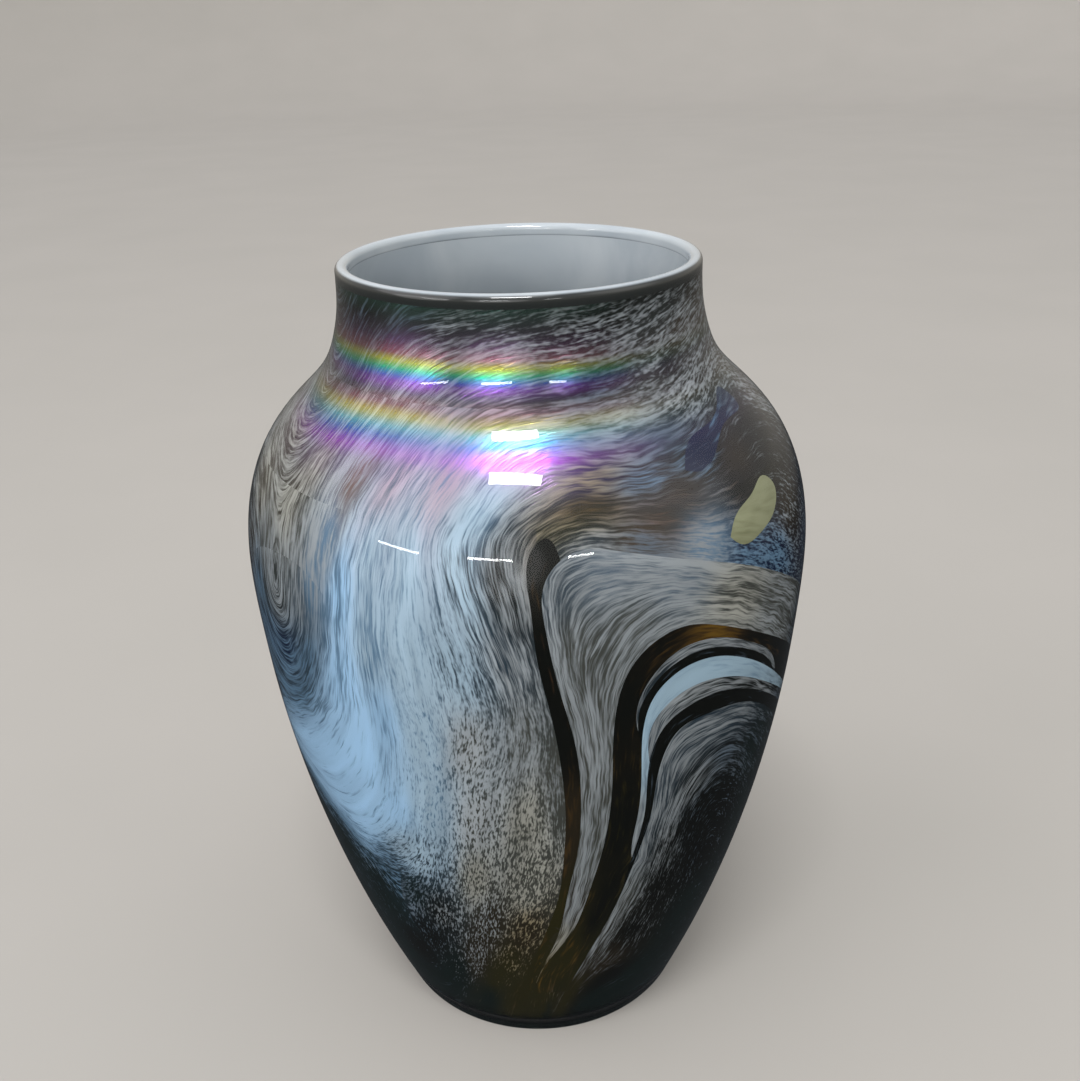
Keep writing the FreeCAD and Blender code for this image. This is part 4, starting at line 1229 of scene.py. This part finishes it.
def casing_glass():
    """Clear glass, with a painted shade of dark teal at its foot. It lets light straight through to the
    colour work, so that no shadow falls on it.
    """
    material, tree = new_finish("clear_crystal")
    place = add_node(tree, "ShaderNodeTexCoord").outputs["Object"]
    ripple = add_node(tree, "ShaderNodeTexNoise", Vector=place, Scale=24.0, Detail=1.0)
    bump = add_node(tree, "ShaderNodeBump", Strength=0.10, Distance=CASING_RIPPLE, Height=ripple.outputs[0])
    polish = ranged(tree, ripple.outputs[0], 0.3, 0.7, 0.0, LEAST_POLISH, smooth=False)
    glass = add_node(tree, "ShaderNodeBsdfPrincipled", Roughness=polish, IOR=CASING_INDEX)
    height = add_node(tree, "ShaderNodeSeparateXYZ", Vector=place).outputs["Z"]
    # Painted shade: the base colour turns dark teal towards the bottom of the casing
    wire(tree, glass, "Base Color", blend(tree, ranged(tree, height, *FOOT_PAINTED_SHADE), (*tint("teal"), 1), CLEAR))
    glass.inputs["Transmission Weight"].default_value = 1.0
    wire(tree, glass, "Normal", bump.outputs[0])
    clear = add_node(tree, "ShaderNodeBsdfTransparent")
    path = add_node(tree, "ShaderNodeLightPath")
    unseen = path.outputs["Is Shadow Ray"]
    for ray in ("Is Diffuse Ray", "Is Glossy Ray"):
        unseen = maths(tree, "MAXIMUM", unseen, path.outputs[ray])
    mix = add_node(tree, "ShaderNodeMixShader", Fac=unseen)
    tree.links.new(glass.outputs[0], mix.inputs[1])
    tree.links.new(clear.outputs[0], mix.inputs[2])
    end_finish(tree, mix.outputs[0])
    return material


# Milky glass: its index, and where its wisps' noise starts and ends
OPAL_INDEX = 1.5
WISPS = (0.3, 0.7)


def milky_finish(name, wisp_scale, detail, curl, coat):
    """The start of a milky glass: its material, tree, place, wisps and a shader with a thin clear coat."""
    material, tree = new_finish(name)
    place = add_node(tree, "ShaderNodeTexCoord").outputs["Object"]
    noise = add_node(
        tree, "ShaderNodeTexNoise", Vector=place, Scale=wisp_scale, Detail=detail, Distortion=curl,
    )
    shader = add_node(tree, "ShaderNodeBsdfPrincipled", IOR=OPAL_INDEX)
    shader.inputs["Coat Weight"].default_value, shader.inputs["Coat Roughness"].default_value = coat
    return material, tree, place, noise.outputs[0], shader


def opal_glass(name, pale, grey, gloss, wisp_scale):
    """Milky glass with faint wisps, for the lining and the ground."""
    material, tree, _, wisps, shader = milky_finish(name, wisp_scale, 4.0, 1.2, (0.6, 0.04))
    colour = blend(tree, ranged(tree, wisps, *WISPS), (*tint(grey), 1), (*tint(pale), 1))
    wire(tree, shader, "Base Color", colour)
    wire(tree, shader, "Roughness", ranged(tree, wisps, *WISPS, gloss + 0.05, gloss))
    end_finish(tree, shader.outputs[0])
    return material


# The lip turns from smoky outside to milky inside over this stretch, in millimetres from its middle
LIP_TURN = (-0.5, 0.8)
LIP_WANDER = 0.7


def lip_glass():
    """The turned-over lip: milky on top and inside, smoky clear where the casing wraps round its outside."""
    material, tree, place, wisps, shader = milky_finish("pale_lip", 26.0, 3.0, 0.6, (0.4, 0.03))
    radius = vector_maths(tree, "LENGTH", vector_maths(tree, "MULTIPLY", place, LEVEL), output="Value")
    height = add_node(tree, "ShaderNodeSeparateXYZ", Vector=place).outputs["Z"]
    middle_radius, middle_height = MOUTH_RADIUS - WALL_THICKNESS / 2, VASE_HEIGHT - LIP_HEIGHT / 2
    inwards = weighted(
        tree, (maths(tree, "SUBTRACT", height, middle_height * MM), 1.0),
        (maths(tree, "SUBTRACT", radius, middle_radius * MM), -1.0),
        (maths(tree, "SUBTRACT", wisps, 0.5), LIP_WANDER * MM),
    )
    milky = ranged(tree, inwards, LIP_TURN[0] * MM, LIP_TURN[1] * MM)
    body = blend(tree, ranged(tree, wisps, *WISPS), (*tint("cloud"), 1), (*tint("milk"), 1))
    wire(tree, shader, "Base Color", blend(tree, milky, (*tint("smoke"), 1), body))
    wire(tree, shader, "Roughness", ranged(tree, wisps, *WISPS, 0.10, 0.05))
    end_finish(tree, shader.outputs[0])
    return material


COMBED_FINISHES = {
    "frit_grey": {}, "pale_streak": {}, "dark_amber": {"thread": 0.9}, "black_teal": {"thread": 0.8},
    "opal_blue": {"thread": 0.9, "contrast": 0.6}, "celadon": {"thread": 1.4, "contrast": 0.5},
    "navy_speckle": {"frit": 0.6}, "navy": {"thread": 0.8, "lustred": True},
    "shoulder_streak": {"lustred": True}, "neck_streak": {"thread": 0.56, "frit": 0.6, "lustred": True},
}
FINISHES = {name: combed_glass(name, **settings) for name, settings in COMBED_FINISHES.items()}
FINISHES |= {
    "clear_crystal": casing_glass(), "pale_lip": lip_glass(),
    "opal_lining": opal_glass("opal_lining", "milk", "cloud", 0.16, 22.0),
    "amber_ground": opal_glass("amber_ground", "umber", "peat", 0.2, 40.0),
}

NODE_SLOTS = {
    "clear_casing": "clear_crystal", "lip_wrap": "pale_lip", "opal_lining": "opal_lining",
    "amber_ground": "amber_ground", "dark_foot": "black_teal", "lower_dark_arch": "black_teal",
    "smoke_dark_field": "black_teal", "celadon_eye": "celadon", "right_frit_fan": "frit_grey",
    "front_frit_field": "frit_grey", "back_frit_fan": "frit_grey", "back_frit_field": "frit_grey",
    "grey_under_arch": "pale_streak", "grey_sub_arch": "pale_streak", "centre_plume": "pale_streak",
    "left_pale_sweep": "pale_streak", "opal_arch": "opal_blue", "back_opal_arch": "opal_blue",
    "dark_arch_line": "dark_amber", "amber_arch": "dark_amber", "first_amber_line": "dark_amber",
    "back_dark_arch": "dark_amber", "navy_speckle_field": "navy_speckle", "left_blue_feather": "navy_speckle",
    "navy_hook": "navy", "shoulder_shawl": "shoulder_streak", "neck_band": "neck_streak",
}


def finish_of(name):
    return FINISHES[NODE_SLOTS[name]]


# ---- the pieces ----

def settle(piece):
    """Hands a finished piece over: it rides on the vase and stands for its CAD node."""
    node = piece.name.removesuffix("_glass")
    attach(piece, "root")
    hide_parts(node)


turned_pieces = [
    turned_piece("clear_casing_glass", casing_profile(), finish_of("clear_casing")),
    turned_piece("opal_lining_glass", lining_profile(), finish_of("opal_lining")),
    turned_piece("lip_wrap_glass", lip_profile(), finish_of("lip_wrap")),
    turned_piece("dark_foot_glass", foot_profile(), finish_of("dark_foot")),
]
combed = combed_surface()
foot_mesh = turned_pieces[-1].data
foot_points = np.array([vertex.co for vertex in foot_mesh.vertices]) / MM
foot_turn = np.degrees(np.arctan2(foot_points[:, 0], -foot_points[:, 1]))
foot_where = np.column_stack([foot_turn * DEGREE, foot_points[:, 2]])
mark_glass(foot_mesh, "dark_foot", foot_where, run_of_glass(foot_where, combed), combed)

points, triangles = unrolled_triangles()
run = run_of_glass(points, combed)
pieces_found = sorted_by_piece(points, triangles)
joined = close_seam(points, triangles)
tiles = [
    tile_piece(name, points, joined[rows], run, combed, finish_of(name))
    for name, rows in pieces_found.items()
]
for piece in turned_pieces + tiles:
    settle(piece)

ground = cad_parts["amber_ground"]
for slot in ground.material_slots:
    slot.material = finish_of("amber_ground")


# ---- the studio ----

FLOOR_REACH = 3.6
COVE_RADIUS = 1.2
FLOOR_TONES = ((0.43, 0.415, 0.385, 1), (0.47, 0.45, 0.42, 1))


def stage_floor():
    """A pale matt floor with a faint mottle, which rises all round into a low cove."""
    material, tree = new_finish("studio_floor")
    place = add_node(tree, "ShaderNodeTexCoord").outputs["Object"]
    mottle = add_node(tree, "ShaderNodeTexNoise", Vector=place, Scale=6.0, Detail=3.0)
    colour = blend(tree, mottle.outputs[0], *FLOOR_TONES)
    shader = add_node(tree, "ShaderNodeBsdfPrincipled", Roughness=0.85)
    wire(tree, shader, "Base Color", colour)
    end_finish(tree, shader.outputs[0])
    profile = [(0, 0), (FLOOR_REACH, 0)]
    for turn in np.linspace(0, math.pi / 2, 16)[1:]:
        profile.append((FLOOR_REACH + COVE_RADIUS * math.sin(turn), COVE_RADIUS * (1 - math.cos(turn))))
    rounds = 96
    points, faces = [(0, 0, 0)], []
    for radius, height in profile[1:]:
        for step in range(rounds):
            angle = 2 * math.pi * step / rounds
            points.append((radius * math.cos(angle), radius * math.sin(angle), height))
    for step in range(rounds):
        after = (step + 1) % rounds
        faces.append((0, 1 + step, 1 + after))
        for ring in range(len(profile) - 2):
            low, high = 1 + ring * rounds, 1 + (ring + 1) * rounds
            faces.append((low + step, high + step, high + after, low + after))
    mesh = bpy.data.meshes.new("studio_floor")
    mesh.from_pydata(points, [], faces)
    mesh.shade_smooth()
    mesh.materials.append(material)
    floor = link(bpy.data.objects.new("studio_floor", mesh))
    # The dark glass mirrors the dark half of the world under the horizon instead of the pale floor.
    floor.visible_glossy = False


def towards(azimuth, elevation):
    """The direction at some degrees to the right of the front and some degrees up."""
    turned, raised = math.radians(azimuth), math.radians(elevation)
    return Vector((
        math.sin(turned) * math.cos(raised), -math.cos(turned) * math.cos(raised), math.sin(raised),
    ))


# Soft glows of the studio: direction, degrees to where they fade out, strength and colour
GLOWS = (
    ((-76, 36), 30, 2.4, (1.0, 0.95, 0.97, 1)),
    ((-62, 15), 22, 3.0, (1.0, 1.0, 1.0, 1)),
    ((-14, 16), 22, 2.6, (1.0, 1.0, 1.0, 1)),
    ((-8, 64), 22, 3.0, (1.0, 1.0, 1.0, 1)),
    ((70, 30), 30, 0.7, (1.0, 0.97, 0.92, 1)),
)


# The world's tones by share of the way up, from straight down at 0 to straight up at 1
WORLD_TONES = (
    (0.36, (0.03, 0.032, 0.035, 1)), (0.53, (0.50, 0.47, 0.42, 1)), (0.95, (0.72, 0.72, 0.74, 1)),
)


def soft_world():
    """Even light from all round, with a few soft glows, over a dark half under the horizon."""
    world = bpy.data.worlds.new("soft_world")
    bpy.context.scene.world = world
    world.use_nodes = True
    tree = world.node_tree
    tree.nodes.clear()
    direction = add_node(tree, "ShaderNodeTexCoord").outputs["Generated"]
    rise = add_node(tree, "ShaderNodeSeparateXYZ", Vector=direction).outputs["Z"]
    ramp = add_node(tree, "ShaderNodeValToRGB", Fac=maths(tree, "MULTIPLY_ADD", rise, 0.5, 0.5))
    stops = ramp.color_ramp.elements
    stops.new(0.5)
    for stop, (at, colour) in zip(stops, WORLD_TONES):
        stop.position, stop.color = at, colour
    light = ramp.outputs[0]
    for place, reach, strength, colour in GLOWS:
        nearness = vector_maths(tree, "DOT_PRODUCT", direction, towards(*place), "Value")
        glow = ranged(tree, nearness, math.cos(math.radians(reach)), 1.0, 0.0, strength)
        light = blend(tree, glow, light, colour, mode="ADD")
    background = add_node(tree, "ShaderNodeBackground", Color=light, Strength=1.0)
    out = add_node(tree, "ShaderNodeOutputWorld")
    tree.links.new(background.outputs[0], out.inputs["Surface"])


VASE_MIDDLE = Vector((0, 0, 0.2))


def studio_box(name, azimuth, elevation, distance, size, radiance):
    """A soft box that faces the vase from a direction: degrees to the right of the front, and degrees up."""
    spot = VASE_MIDDLE + towards(azimuth, elevation) * distance
    lamp = bpy.data.lights.new(name, "AREA")
    lamp.shape = "RECTANGLE"
    lamp.size, lamp.size_y = size
    lamp.energy = radiance * math.pi * size[0] * size[1]
    facing = (VASE_MIDDLE - spot).to_track_quat("-Z", "Y").to_matrix().to_4x4()
    light = link(bpy.data.objects.new(name, lamp))
    light.matrix_world = Matrix.Translation(spot) @ facing


stage_floor()
soft_world()
studio_box("overhead_box", -8, 64, 1.6, (0.48, 0.15), 44)
studio_box("strip_left", -52, 16, 3.0, (0.9, 0.06), 26)
studio_box("strip_middle", -15, 18, 3.0, (0.9, 0.07), 32)
studio_box("strip_right", 20, 18, 3.0, (0.5, 0.06), 26)

CAMERA_SPOT = Vector((0.0, -0.3316, 0.3139))
CAMERA_PITCH, CAMERA_YAW, CAMERA_ROLL = 24.959, 0.644, -1.692
# The lens's focal length and the width of the sensor, in millimetres
LENS = 38.298
SENSOR = 36.0


def set_camera():
    """The camera a little above and before the vase, tilted down at it."""
    data = bpy.data.cameras.new("camera")
    data.sensor_width = SENSOR
    data.lens = LENS
    data.clip_start = 0.01
    camera = link(bpy.data.objects.new("camera", data))
    pitch, yaw, roll = (math.radians(angle) for angle in (CAMERA_PITCH, CAMERA_YAW, CAMERA_ROLL))
    forward = Vector((math.sin(yaw) * math.cos(pitch), math.cos(yaw) * math.cos(pitch), -math.sin(pitch)))
    level_right = forward.cross(Vector((0, 0, 1))).normalized()
    level_up = level_right.cross(forward)
    right = level_right * math.cos(roll) + level_up * math.sin(roll)
    axes = Matrix((right, right.cross(forward), -forward)).transposed().to_4x4()
    camera.matrix_world = Matrix.Translation(CAMERA_SPOT) @ axes
    bpy.context.scene.camera = camera


set_camera()
bpy.context.scene.view_settings.view_transform = "Standard"
